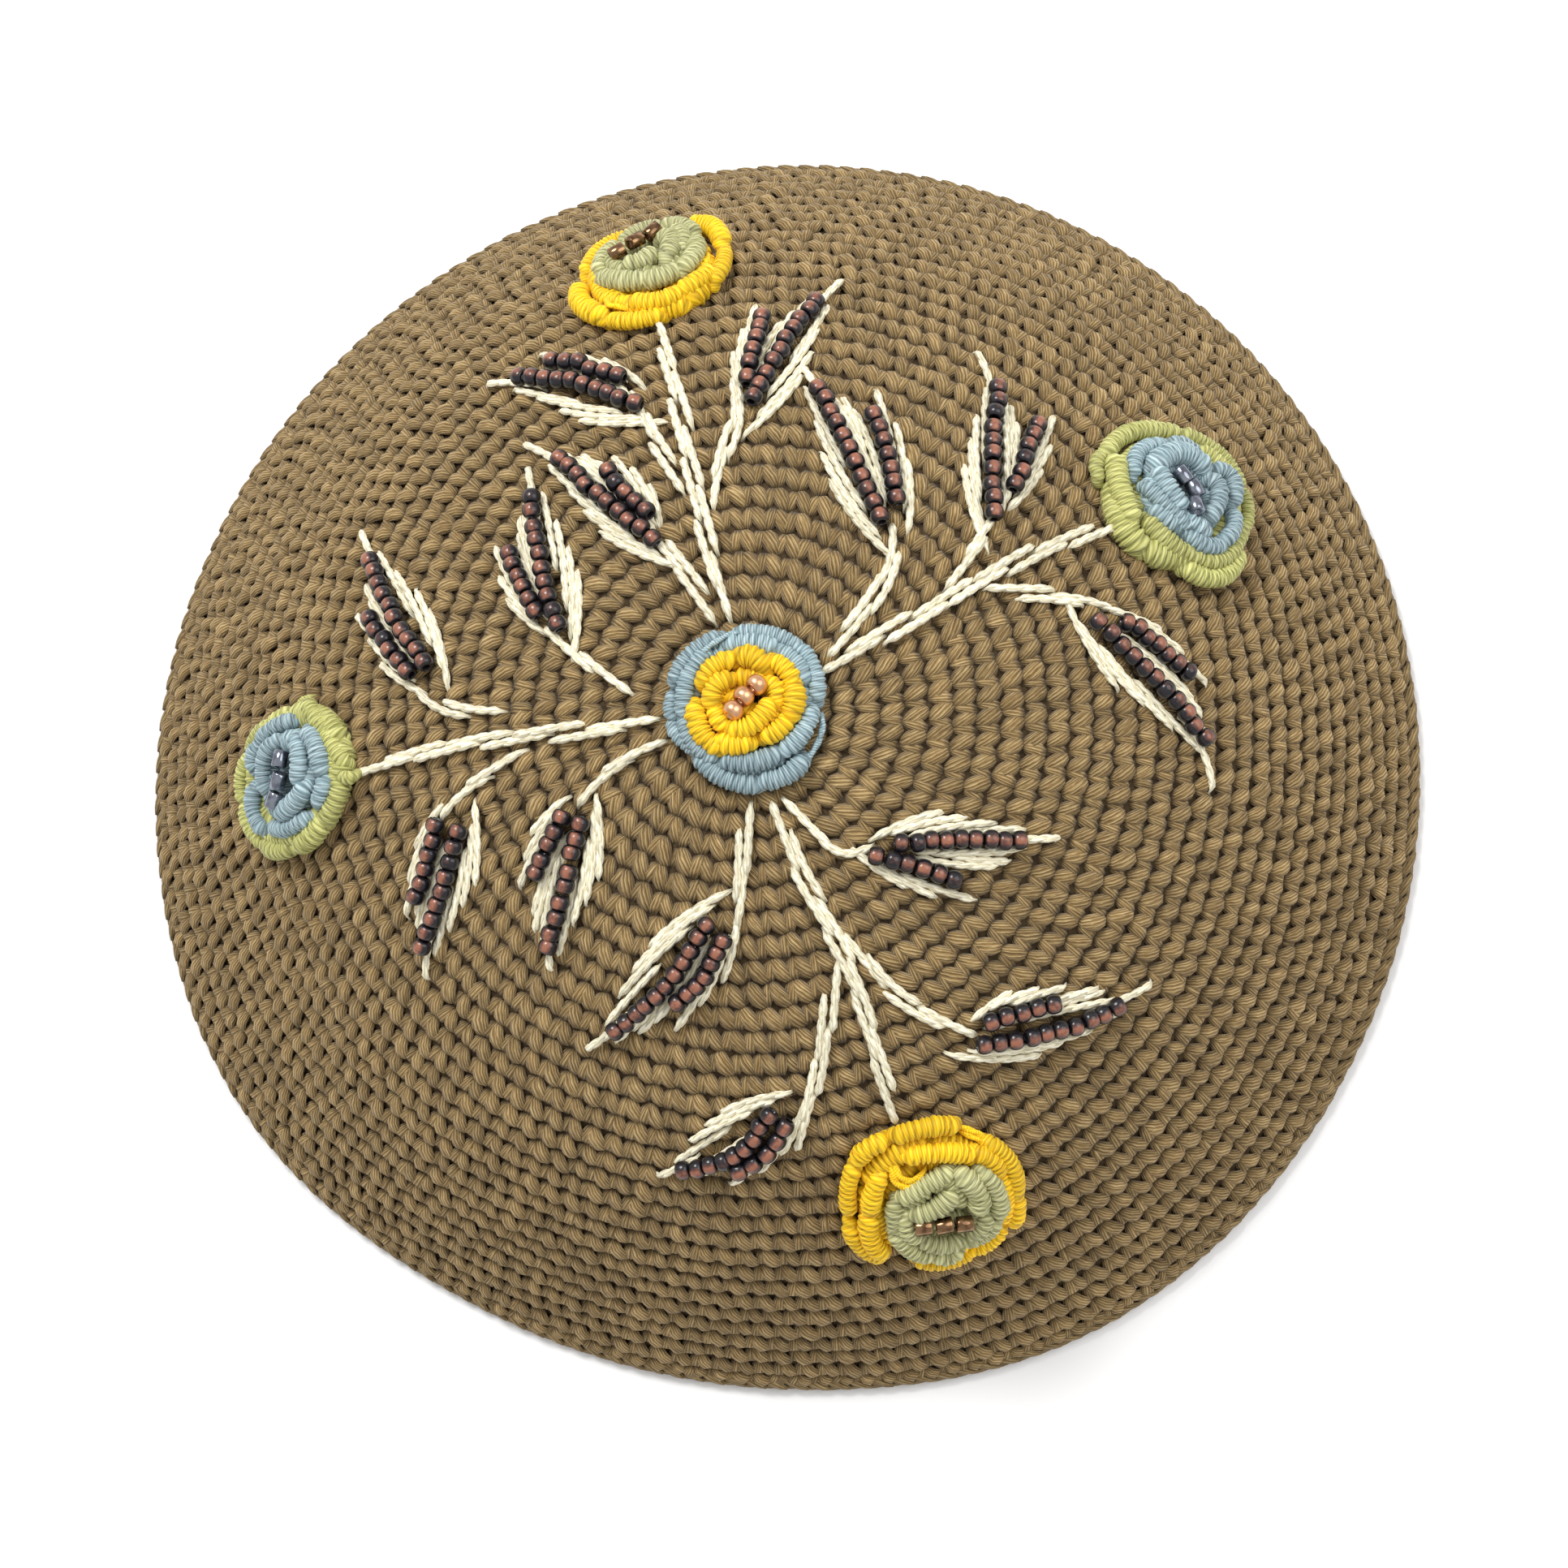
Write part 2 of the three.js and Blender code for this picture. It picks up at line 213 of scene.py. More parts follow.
def cotton(name, deep, body, bright, plies, twist, relief, roughness, sheen):
    """Spun cotton: fine plies that wind round the yarn, with painted highlight on their crests and painted
    shade down in the stitches.
    """
    finish, tree, shader = new_finish(name)
    add, link = tree.nodes.new, tree.links.new

    def sums(kind, a, b):
        node = add("ShaderNodeMath")
        node.operation = kind
        for socket, value in zip(node.inputs, (a, b)):
            if isinstance(value, (int, float)):
                socket.default_value = value
            else:
                link(value, socket)
        return node.outputs[0]

    lie = add("ShaderNodeUVMap")
    lie.uv_map = "yarn"
    split = add("ShaderNodeSeparateXYZ")
    link(lie.outputs[0], split.inputs[0])
    along, around = split.outputs[0], split.outputs[1]
    shade = add("ShaderNodeAttribute")
    shade.attribute_name = "shade"
    depth = add("ShaderNodeAttribute")
    depth.attribute_name = "depth"
    wind = sums("ADD", sums("MULTIPLY", around, plies), sums("MULTIPLY", along, twist))
    place = add("ShaderNodeCombineXYZ")
    link(sums("MULTIPLY", along, 0.55), place.inputs[0])
    link(sums("MULTIPLY", wind, 1.7), place.inputs[1])
    link(sums("MULTIPLY", shade.outputs["Fac"], 90), place.inputs[2])
    fibres = clouds(tree, place.outputs[0], 1.0, 3.0)
    hairs = clouds(tree, place.outputs[0], 2.7)
    # The plies' streaks: random fibre tone, with painted highlight on each ply's crest and painted shade
    # between plies.
    phase = sums("ADD", sums("MULTIPLY", wind, 2 * math.pi), sums("MULTIPLY", fibres, 7.0))
    ply = sums("MULTIPLY", sums("SINE", phase, 0), 0.17)
    crest = sums("ADD", sums("ADD", ply, sums("MULTIPLY", fibres, 0.55)), sums("MULTIPLY", hairs, 0.4))
    tone = add("ShaderNodeMix")
    tone.data_type = "RGBA"
    tone.blend_type = "MULTIPLY"
    tone.inputs[0].default_value = 1.0
    link(colour_steps(tree, crest, (0.12, deep), (0.82, bright), (0.46, body)), tone.inputs[6])
    # The colour times each piece's random tone (shade) and its painted shade (depth), darker the deeper it
    # lies.
    tone_and_painted_shade = add("ShaderNodeCombineXYZ")
    level = sums("MULTIPLY", sums("ADD", sums("MULTIPLY", shade.outputs["Fac"], 0.34), 0.83),
                 sums("ADD", sums("MULTIPLY", depth.outputs["Fac"], 0.62), 0.38))
    for k in range(3):
        link(level, tone_and_painted_shade.inputs[k])
    link(tone_and_painted_shade.outputs[0], tone.inputs[7])
    link(tone.outputs[2], shader.inputs["Base Color"])
    bump = add("ShaderNodeBump")
    bump.inputs["Strength"].default_value = 1.0
    bump.inputs["Distance"].default_value = relief
    link(crest, bump.inputs["Height"])
    link(bump.outputs[0], shader.inputs["Normal"])
    shader.inputs["Roughness"].default_value = roughness
    shader.inputs["Specular IOR Level"].default_value = 0.25
    shader.inputs["Sheen Weight"].default_value = sheen
    shader.inputs["Sheen Roughness"].default_value = 0.5
    return finish


brown_cotton = cotton("brown_cotton", (0.06, 0.033, 0.01), (0.24, 0.153, 0.058), (0.54, 0.4, 0.197),
                      plies=14, twist=-0.5, relief=0.00022, roughness=0.85, sheen=0.1)

# Where each stitch of the spiral lies: its distance from the crown's top and its direction. The last stitches
# are worked shorter and shorter, until the round runs level into the edging.
turns = 0.45                    # the first stitch closes the ring that the spiral starts from
half_stitch = 0.0016
narrowest_girth = 0.0014        # keeps the first stitches from reaching right round the crown's top
uneven_place = 0.0006
uneven_lift = 0.00012
# Painted shade: the yarn's colour darkens with depth below a crest, reaching full painted shade this far
# down.
painted_shade_depth = 0.0012           # from a crest down to where the yarn is in full shadow
stitch_far, stitch_angle = [], []
while turns * round_pitch < wall_length + 0.0001:
    far = turns * round_pitch
    stitch_far.append(far)
    stitch_angle.append(2 * math.pi * turns)
    turns += stitch_width / (2 * math.pi * np.interp(far, curve_length, curve_radius))
stitch_far, stitch_angle = np.array(stitch_far), np.array(stitch_angle)
stitches = len(stitch_far)
outer_end = np.minimum(stitch_far + half_stitch, wall_length - 0.0004)
squeeze = (outer_end - stitch_far + half_stitch) / (2 * half_stitch)
stitch_far = (outer_end + stitch_far - half_stitch) / 2
girth = np.interp(stitch_far, curve_length, curve_radius)
girth = girth * (1 + (rim_share(stitch_angle) - 1) * (stitch_far / wall_length) ** 2)


def stitch_legs(outs, rounds, lifts, wide, tall, sides, wobble, floor):
    """One leg of every stitch: its path outwards, round the crown and off the cloth, and its half sizes, in
    millimetres. Wobble is how uneven the hand is, and floor the level below which the yarn is painted in full
    shade."""
    outs, rounds, lifts = (np.array(v) * 0.001 for v in (outs, rounds, lifts))
    size = 1 + wobble * chance.normal(0, 1, (stitches, 1))
    lean_by = wobble * chance.normal(0, 1, (stitches, 1))
    out = stitch_far[:, None] + outs * squeeze[:, None] + lean_by * uneven_place
    sideways = rounds * size + lean_by * outs
    share = out / wall_length
    angle = stitch_angle[:, None] + sideways / np.maximum(girth, narrowest_girth)[:, None]
    lift = lifts + uneven_lift * chance.normal(0, 1, (stitches, 1))
    middle = on_wall(share, angle, lift)
    up = outward(share, angle)
    shade = chance.uniform(0, 1, stitches)
    turn = np.sin(2 * math.pi * np.arange(sides) / sides)
    height = lift[:, :, None] + np.array(tall)[None, :, None] * 0.001 * turn
    # Painted shade: the lower the yarn lies, the darker its colour, down to full shade at the floor level.
    depth = np.clip((height - floor) / painted_shade_depth, 0, 1)
    legs = yarn(middle, up, np.array(wide) * 0.001 * size, np.array(tall) * 0.001 * size, sides, shade, depth)
    legs["points"][:, 2] = np.maximum(legs["points"][:, 2], 0.00003)
    return legs


long_legs = stitch_legs([-1.6, -1.1, -0.4, 0.4, 1.1, 1.6], [-0.8, -0.66, -0.22, 0.28, 0.7, 0.82],
                        [-0.3, 0.22, 0.7, 0.7, 0.24, -0.32], [0.5, 0.88, 1.08, 1.1, 0.92, 0.58],
                        [0.32, 0.52, 0.62, 0.62, 0.52, 0.32], sides=6, wobble=0.065, floor=-0.0001)
short_legs = stitch_legs([-1.45, -0.6, 0.4, 1.4], [1.92, 1.72, 1.45, 1.25], [-0.2, 0.42, 0.56, -0.12],
                         [0.7, 1.0, 1.06, 0.8], [0.34, 0.52, 0.55, 0.4], sides=5, wobble=0.065, floor=-0.0001)
back_bars = stitch_legs([-0.55, -0.2, 0.2, 0.55], [-1.5, -0.55, 0.55, 1.5], [-0.45, -0.85, -0.85, -0.45],
                        [0.5, 0.95, 0.95, 0.5], [0.3, 0.48, 0.48, 0.3], sides=4, wobble=0.08, floor=-0.0022)
back_legs = stitch_legs([0.55, 1.5, 2.45], [-0.75, 0.0, 0.75], [-0.4, -0.82, -0.4],
                        [0.6, 1.12, 0.6], [0.3, 0.45, 0.3], sides=4, wobble=0.08, floor=-0.0022)
# Painted shade inside the crown: the bars are painted a little dark, the legs that lie between them darker.
back_bars["depth"] = 0.95 - back_bars["shade"] * 0.15
back_legs["depth"] = 0.75 - back_legs["shade"] * 0.15


def part_of(legs, first, last, sides, stations):
    """The legs of the stitches from first to last, as a lot of their own."""
    per_point = stations * sides
    per_quad = (stations - 1) * sides
    quads, ends = legs["faces"]
    own_ends = np.concatenate([ends[first:last], ends[stitches + first:stitches + last]])
    own = slice(first * per_point, last * per_point)
    return {"points": legs["points"][own],
            "faces": [quads[first * per_quad:last * per_quad] - first * per_point,
                      own_ends - first * per_point],
            "uv": [legs["uv"][0][first * per_quad * 4:last * per_quad * 4], np.zeros((own_ends.size, 2))],
            "shade": legs["shade"][own], "depth": legs["depth"][own]}


def crown_rounds(name, first, last, replaced=()):
    sew_on(name, [part_of(long_legs, first, last, 6, 6), part_of(short_legs, first, last, 5, 4)],
           [brown_cotton], replaced)


top_stitches = int(stitches * 0.34)
upper_stitches = int(stitches * 0.67)
crown_rounds("crown_top_rounds", 0, top_stitches, ["crown"])
crown_rounds("crown_middle_rounds", top_stitches, upper_stitches)
crown_rounds("crown_lower_rounds", upper_stitches, stitches)
sew_on("crown_inside", [back_bars, back_legs], [brown_cotton])


# The core: a dark sheet through the middle of the wall behind the stitches, painted in the colour of deep
# shade. It fills the holes between them, so that no light comes through the cloth.
core_around, core_down = 120, 30
painted_shade_cotton = cotton("painted_shade_cotton", (0.03, 0.017, 0.007), (0.07, 0.042, 0.017), (0.12, 0.08, 0.035),
                       plies=60, twist=0.0, relief=0.0001, roughness=0.9, sheen=0.0)
core_angle = 2 * math.pi * np.arange(core_around) / core_around
core_share = np.concatenate([np.linspace(0.004, 0.999, core_down), np.linspace(0.999, 0.004, core_down)])
core_lift = np.concatenate([np.full(core_down, 0.0002), np.full(core_down, -0.0006)])
core_points = on_wall(core_share[:, None], core_angle[None, :], core_lift[:, None]).reshape(-1, 3)
core_spot = np.arange(2 * core_down * core_around).reshape(2 * core_down, core_around)
core_next = np.roll(core_spot, -1, axis=1)
core_quads = np.stack([core_spot[:-1], core_spot[1:], core_next[1:], core_next[:-1]], -1).reshape(-1, 4)
core_caps = np.stack([core_spot[0], core_spot[-1, ::-1]])
core_uv = np.tile([[0.0, 0.0], [1.0, 0.0], [1.0, 0.02], [0.0, 0.02]], (len(core_quads), 1))
core = {"points": core_points, "faces": [core_quads, core_caps],
        "uv": [core_uv, np.zeros((core_caps.size, 2))],
        "shade": np.full(len(core_points), 0.3), "depth": np.full(len(core_points), 0.5)}
sew_on("crown_core", [core], [painted_shade_cotton])


# The edging: a last round of slip stitches that binds the rim over a cord. It shows as a chain of long loops,
# two strands each, that slant over one another along the edge. The cap rests on it.
edge_loops = 186
rope_stations = 121
edging_cotton = cotton("edging_cotton", (0.07, 0.04, 0.015), (0.23, 0.152, 0.062), (0.44, 0.325, 0.158),
                       plies=7, twist=0.3, relief=0.00026, roughness=0.85, sheen=0.1)
# The five strands of a loop: where it starts and ends, in loops; how far out of the ring's line it starts and
# ends, its heights there and its arch between, and its half thickness, in millimetres; and its least shade.
loop_strands = [
    (-0.8, 0.5, -1.1, 0.35, 2.15, 1.75, 0.3, 0.5, 0.5),
    (-0.62, 0.72, -0.45, 1.0, 2.05, 1.3, 0.3, 0.52, 0.6),
    (-0.7, 0.7, -1.25, 0.1, 1.25, 0.85, -0.1, 0.72, 0.3),
    (-0.75, 0.7, 0.3, -1.0, 0.75, 0.9, -0.1, 0.72, 0.3),
    (-0.75, 0.75, 0.75, 0.2, 0.75, 1.0, 0.0, 0.64, 0.3),
]
edge_angle = 2 * math.pi * np.arange(edge_loops) / edge_loops
edging_lots = []
for start, end, inner, outer, level_from, level_to, arch, thick, tint in loop_strands:
    part = np.linspace(0, 1, 6)
    angle = edge_angle[:, None] + (start + (end - start) * part) * 2 * math.pi / edge_loops
    swell = np.sin(math.pi * (0.1 + 0.8 * part)) ** 0.7
    reach = ring_radius * rim_share(angle) + (inner + (outer - inner) * part ** 0.8) * 0.001
    height = (level_from + (level_to - level_from) * part + arch * np.sin(math.pi * part)) * 0.001
    height = np.broadcast_to(height, angle.shape) + 0.00006 * chance.normal(0, 1, (edge_loops, 1))
    middle = round_middle(reach, angle, height)
    away = np.stack([np.cos(angle), np.sin(angle), np.full(angle.shape, 0.5)], -1)
    size = thick * 0.001 * swell * (1 + 0.05 * chance.normal(0, 1, (edge_loops, 1)))
    shade = chance.uniform(tint, tint + 0.4, edge_loops)
    strand = yarn(middle, away, size, size * 1.1, 6, shade, 0.85)
    strand["points"][:, 2] = np.maximum(strand["points"][:, 2], 0.00002)
    edging_lots.append(strand)
rope_angle = 2 * math.pi * np.arange(rope_stations) / (rope_stations - 1)
rope_reach = ring_radius * rim_share(rope_angle) - 0.0003
rope = round_middle(rope_reach, rope_angle, np.full(rope_stations, 0.0014))
# The cord under the loops is painted in deep shade, so it fills the gaps between them with painted shadow.
painted_shade_cord = yarn(rope[None], np.array([0.0, 0.0, 1.0]), 0.00095, 0.0007, 8, 0.2, 0.4)
painted_shade_cord["finish"] = 1
sew_on("rim_chain", edging_lots + [painted_shade_cord], [edging_cotton, painted_shade_cotton], ["rim_edging"])


# The stems: two-ply cream cotton thread, worked over the crochet in stem stitch, each stitch laid half beside
# the last one. Their routes lie on the flower chart: millimetres right and up from the crown's top, as if the
# dome were smoothed out flat.
chart_reach = 0.1055            # from the crown's top to the rim on the chart
thread_dive = 0.0012            # how deep a thread's end is drawn into the cloth
dive_length = 1.3
ply_turn = 4.0                  # a thread's two plies wind once round each other in this length


def on_chart(x, y, lift):
    """Points over the cloth at a place of the chart, and the direction straight off the cloth there."""
    x, y = np.asarray(x, float), np.asarray(y, float)
    share, angle = np.hypot(x, y) * 0.001 / chart_reach, np.arctan2(y, x)
    return on_wall(share, angle, wall / 2 + lift), outward(share, angle)


def thread_stitches(paths, lifts, thickness):
    """Two-ply thread along short bent paths on the chart, each end drawn down through the cloth."""
    lots = []
    for path, lift in zip(paths, lifts):
        path = np.asarray(path, float)
        span = np.hypot(*np.diff(path, axis=0).T).cumsum()[-1]
        part = np.linspace(0, 1, max(6, int(span / 0.55)))
        first, bend, last = path
        bulge = (4 * part * (1 - part))[:, None] * (bend - (first + last) / 2)
        line = first + (last - first) * part[:, None] + bulge
        to_end = np.minimum(part, 1 - part)
        sag = thread_dive * np.clip(1 - to_end * span / dive_length, 0, 1) ** 2
        base, up = on_chart(line[:, 0], line[:, 1], lift - sag)
        along = np.gradient(base, axis=0)
        along /= np.linalg.norm(along, axis=-1, keepdims=True)
        side = np.cross(along, up)
        wind = 2 * math.pi * (part * span / ply_turn) + chance.uniform(0, 6.28)
        size = (thickness * 0.36 * np.clip(to_end * 8, 0.35, 1))[None]
        for ply in (0, math.pi):
            sway = np.cos(wind + ply)[:, None] * side + 0.7 * np.sin(wind + ply)[:, None] * up
            middle = (base + thickness * 0.15 * sway)[None]
            lots.append(yarn(middle, up[None], size, size * 0.9, 6, chance.uniform(0.2, 1)))
    return lots


def stem_stitch(route, step, length, spread, lift, thickness):
    """Stitches one after another along a route, by turns on its left and on its right."""
    route = np.asarray(route, float)
    span = np.concatenate([[0], np.cumsum(np.hypot(*np.diff(route, axis=0).T))])
    total = span[-1]
    count = max(2, int(round((total - length) / step)) + 1)
    paths, lifts = [], []
    for k in range(count):
        begin = max(0, total - length) * k / (count - 1)
        places = np.linspace(begin, min(begin + length, total), 3)
        x, y = np.interp(places, span, route[:, 0]), np.interp(places, span, route[:, 1])
        dx, dy = np.gradient(x), np.gradient(y)
        size = np.hypot(dx, dy)
        hand = 1 if k % 2 else -1
        shift = hand * spread + np.array([-0.35, 0, 0.35]) * chance.uniform(0.6, 1.4) + chance.normal(0, 0.1)
        paths.append(np.stack([x - dy / size * shift, y + dx / size * shift], -1))
        lifts.append(lift + 0.0002 * (k % 3))
    return thread_stitches(paths, lifts, thickness)


cream_thread = cotton("cream_thread", (0.4, 0.34, 0.19), (0.75, 0.69, 0.5), (0.92, 0.89, 0.76),
                      plies=4, twist=0.3, relief=0.0001, roughness=0.6, sheen=0.15)
stems = [
    [(-2.5, 11), (-5, 22), (-7.5, 33), (-10, 43.5), (-14, 57.3)],
    [(8.5, 5), (14, 7.5), (22, 12), (29, 16.5), (37.5, 21.5), (50.5, 27.5)],
    [(-10.5, -2), (-25, -2.5), (-36, -3), (-54.5, -5.2)],
    [(4, -11), (7, -21), (11.5, -29), (14.5, -37), (19, -54)],
]
leaf_stems = [
    [(-16, 46), (-12.5, 37), (-8, 28.5)],
    [(-2, 47), (-1.5, 39.5), (-4, 33), (-5, 26.5)],
    [(-13, 26), (-10.5, 22), (-6.5, 16), (-3.5, 11)],
    [(-26, 12.5), (-20, 6), (-14.5, 1.5)],
    [(-44, 6), (-39.5, 1.5), (-31.5, 0)],
    [(19.5, 25), (19, 18.5), (14.5, 12), (9.5, 7)],
    [(34, 28), (29.5, 22), (24.5, 16)],
    [(48, 13.5), (42, 15.5), (37, 15.5), (30, 15.5)],
    [(-41.5, -12.5), (-37.5, -9), (-28, -5)],
    [(-22.5, -11.5), (-17.5, -7), (-9.5, -4.5)],
    [(-2.5, -28), (-1, -23), (0.5, -11.5)],
    [(16.5, -18), (12, -19), (8.5, -14.5), (5, -10.5)],
    [(29.5, -42.6), (24.5, -40), (18.5, -36), (12.5, -27.5)],
    [(4.5, -58), (8.5, -47.5), (11.5, -31.5)],
]
stem_lots = []
for route in stems:
    stem_lots += stem_stitch(route, 4.6, 10.5, 0.55, 0.0004, 0.00118)
for route in leaf_stems:
    stem_lots += stem_stitch(route, 4.4, 10.0, 0.5, 0.0003, 0.00115)
sew_on("stems", stem_lots, [cream_thread])


# The leaves: long cream stitches that fan from each leaf's foot to its tip, and over them two rows of
# glass seed beads, clear dark glass lined with copper, strung on a thread and caught down on the cloth.
bead_radius = 0.00125
bead_hole = 0.0005
bead_lift = 0.0015
leaf_thread = 0.0011


def copper_lined_glass(name):
    """Smoky glass with a copper lining, which shows as a bright stripe along the thread: a painted
    refraction, painted on each bead's top only.
    """
    finish, tree, shader = new_finish(name)
    painted_copper_window = tree.nodes.new("ShaderNodeAttribute")
    painted_copper_window.attribute_name = "depth"
    place = tree.nodes.new("ShaderNodeTexCoord")
    edge = tree.nodes.new("ShaderNodeMath")
    edge.operation = "MULTIPLY_ADD"
    edge.inputs[1].default_value = 0.55
    tree.links.new(clouds(tree, place.outputs["Object"], 1900), edge.inputs[0])
    tree.links.new(painted_copper_window.outputs["Fac"], edge.inputs[2])
    lining = colour_steps(tree, edge.outputs[0], (0.5, (0.009, 0.007, 0.01)), (1.0, (0.29, 0.11, 0.064)),
                          (0.74, (0.105, 0.04, 0.028)))
    tree.links.new(lining, shader.inputs["Base Color"])
    shader.inputs["Roughness"].default_value = 0.45
    shader.inputs["Specular IOR Level"].default_value = 0.2
    shader.inputs["Coat Weight"].default_value = 0.6
    shader.inputs["Coat Roughness"].default_value = 0.05
    return finish


def turned_beads(centres, along, up, profile, sides, finish, lining=False):
    """Beads turned about their thread: profile is a closed outline of (along, radius) in metres."""
    profile = np.asarray(profile, float)
    along = along / np.linalg.norm(along, axis=-1, keepdims=True)
    side = np.cross(along, up)
    side /= np.linalg.norm(side, axis=-1, keepdims=True)
    top = np.cross(side, along)
    turn = 2 * math.pi * (np.arange(sides) + 0.5) / sides
    beads, rows = len(centres), len(profile)
    radial = np.cos(turn)[None, :, None] * side[:, None] + np.sin(turn)[None, :, None] * top[:, None]
    points = (centres[:, None, None] + profile[None, :, None, 0, None] * along[:, None, None]
              + profile[None, :, None, 1, None] * radial[:, None])
    spot = np.arange(beads * rows * sides).reshape(beads, rows, sides)
    below, beside = np.roll(spot, -1, axis=1), np.roll(spot, -1, axis=2)
    quads = np.stack([spot, below, np.roll(below, -1, axis=2), beside], -1).reshape(-1, 4)
    painted_copper_window = np.ones((beads, rows, sides))
    if lining:
        # Painted refraction: the copper lining is painted only on the bead's top, away from the cloth; the
        # sides stay dark.
        level = np.clip((np.sin(turn) - 0.7) / 0.26, 0, 1)
        length = np.clip(2.3 - 1.9 * np.abs(profile[:, 0]) / np.abs(profile[:, 0]).max(), 0, 1)
        painted_copper_window = painted_copper_window * level * (length * (profile[:, 1] > profile[:, 1].max() * 0.7))[:, None]
        dull = chance.uniform(0, 1, (beads, 1, 1)) < 0.05
        painted_copper_window = painted_copper_window * np.where(dull, 0.3, chance.uniform(0.56, 0.8, (beads, 1, 1)))
    return {"points": points.reshape(-1, 3), "faces": [quads], "uv": [np.zeros((quads.size, 2))],
            "shade": np.full(painted_copper_window.size, 0.5), "depth": painted_copper_window.reshape(-1), "finish": finish}


def seed_profile(length, radius, hole):
    """A seed bead's outline: a full round side and a straight hole."""
    half = length / 2
    turn = np.linspace(0, math.pi, 9)
    bulge = radius - half * 0.72
    outer = [(-half * math.cos(t), bulge + half * 0.72 * math.sin(t) ** 0.85) for t in turn]
    return outer + [(half * 0.93, hole), (-half * 0.93, hole)]


lined_glass = copper_lined_glass("lined_glass")

# Each leaf on the chart: its tip, then its long and its short row of beads, each from foot to top with its
# count and how far it bows out to its left.
leaves = [
    ((-39, 50), ((-15.5, 42), (-32.5, 49), 10, -0.9), ((-18, 46.5), (-28, 51), 6, -0.5)),
    ((12, 65.5), ((0.5, 42), (8, 59), 10, 0.4), ((-0.5, 45.5), (1, 56), 6, 0.1)),
    ((-31.5, 38.5), ((-12, 22.5), (-25, 34.5), 10, 0.3), ((-13, 26), (-18, 32), 5, 0.2)),
    ((-30, 35), ((-24, 11.5), (-28.5, 29), 10, 0.4), ((-27, 13.5), (-31, 21.5), 6, 0.2)),
    ((-56.5, 30), ((-42.5, 8), (-52.5, 23.5), 10, 0.4), ((-45, 7), (-51.5, 15), 6, 0.2)),
    ((6.5, 48), ((17, 25), (9, 43.5), 11, 0.1), ((19, 27.5), (16, 39.5), 7, -0.4)),
    ((30, 53), ((31.5, 26), (32.5, 45), 10, 0.4), ((34.5, 30.5), (38, 40), 6, 0.2)),
    ((62, -9.5), ((45, 12), (60, -2), 11, 0.4), ((49, 12.5), (57.5, 6.5), 7, 0.2)),
    ((-44.5, -34), ((-37.5, -14.5), (-43.5, -29), 9, 0.4), ((-40.5, -13.5), (-44, -22.5), 6, 0.2)),
    ((-26, -33), ((-21, -14), (-26, -29.5), 9, 0.4), ((-23.5, -13), (-27, -20), 5, 0.2)),
    ((-22.5, -43.5), ((-5, -27), (-17.5, -40.5), 11, 1.2), ((-3, -29), (-9, -37), 7, 0.8)),
    ((40.5, -16), ((19.5, -17), (34.5, -16.5), 9, 0.3), ((16.5, -18.5), (26, -21.5), 6, 0.2)),
    ((54, -35), ((30, -42.5), (48, -38), 10, -0.9), ((31, -39.5), (39, -37.5), 5, 0.1)),
    ((-14.5, -62), ((2, -52), (-10, -60), 9, 2.1), ((4, -53.5), (-2.5, -60), 5, 1.0)),
]
# The stitches beside the long row on its open side, between the rows, and beside the short row on its open
# side: where each starts along its row as a share of it and how far off the row's line, then where it ends.
beside_long = [(-0.3, 0.1, 0.42, 3.7), (-0.14, 0.8, 0.62, 3.1), (0.08, 1.1, 0.84, 2.3),
               (0.4, 1.15, 1.12, 1.2)]
between = [(0.02, -1.1, 0.98, -1.5), (0.08, -1.5, 0.84, -3.0), (0.24, -1.5, 1.1, -0.9),
           (0.4, -1.9, 0.96, -2.4)]
beside_short = [(-0.35, 0.2, 0.52, 3.0), (-0.1, 0.8, 0.95, 2.5), (0.3, 1.1, 1.4, 1.5)]


def fanned_stitches(foot, top, other, fan):
    """The stitches of one fan along a row of beads, on the side away from the point other."""
    along = top - foot
    across = np.array([-along[1], along[0]]) / np.hypot(*along)
    if np.dot(across, other - foot) > 0:
        across = -across
    paths = []
    for start_share, start_off, end_share, end_off in fan:
        start = foot + along * start_share + across * start_off + chance.normal(0, 0.2, 2)
        end = foot + along * end_share + across * end_off + chance.normal(0, 0.2, 2)
        belly = across * 0.06 * end_off * np.hypot(*(end - start)) / 4
        paths.append([start, (start + end) / 2 + belly, end])
    return paths


def bead_row(foot, top, count, bow):
    """A row of copper-lined seed beads from a leaf's foot up, bowed a little, no two quite in line."""
    part = np.linspace(0, 1, count)
    line = top - foot
    cross = np.array([-line[1], line[0]]) / np.hypot(*line)
    path = foot + part[:, None] * line + (bow * np.sin(math.pi * part))[:, None] * cross
    path = path + chance.normal(0, 0.1, (count, 2))
    centres, up = on_chart(path[:, 0], path[:, 1], bead_lift)
    centres = centres + up * chance.uniform(-0.00015, 0.0002, (count, 1))
    along = np.gradient(centres, axis=0)
    tilt = chance.normal(0, 0.08, (count, 3)) * np.linalg.norm(along, axis=-1, keepdims=True)
    gap = np.linalg.norm(np.diff(centres, axis=0), axis=1).mean()
    profile = seed_profile(gap * 0.97, bead_radius, bead_hole)
    return turned_beads(centres, along + tilt, up, profile, 16, 1, lining=True)


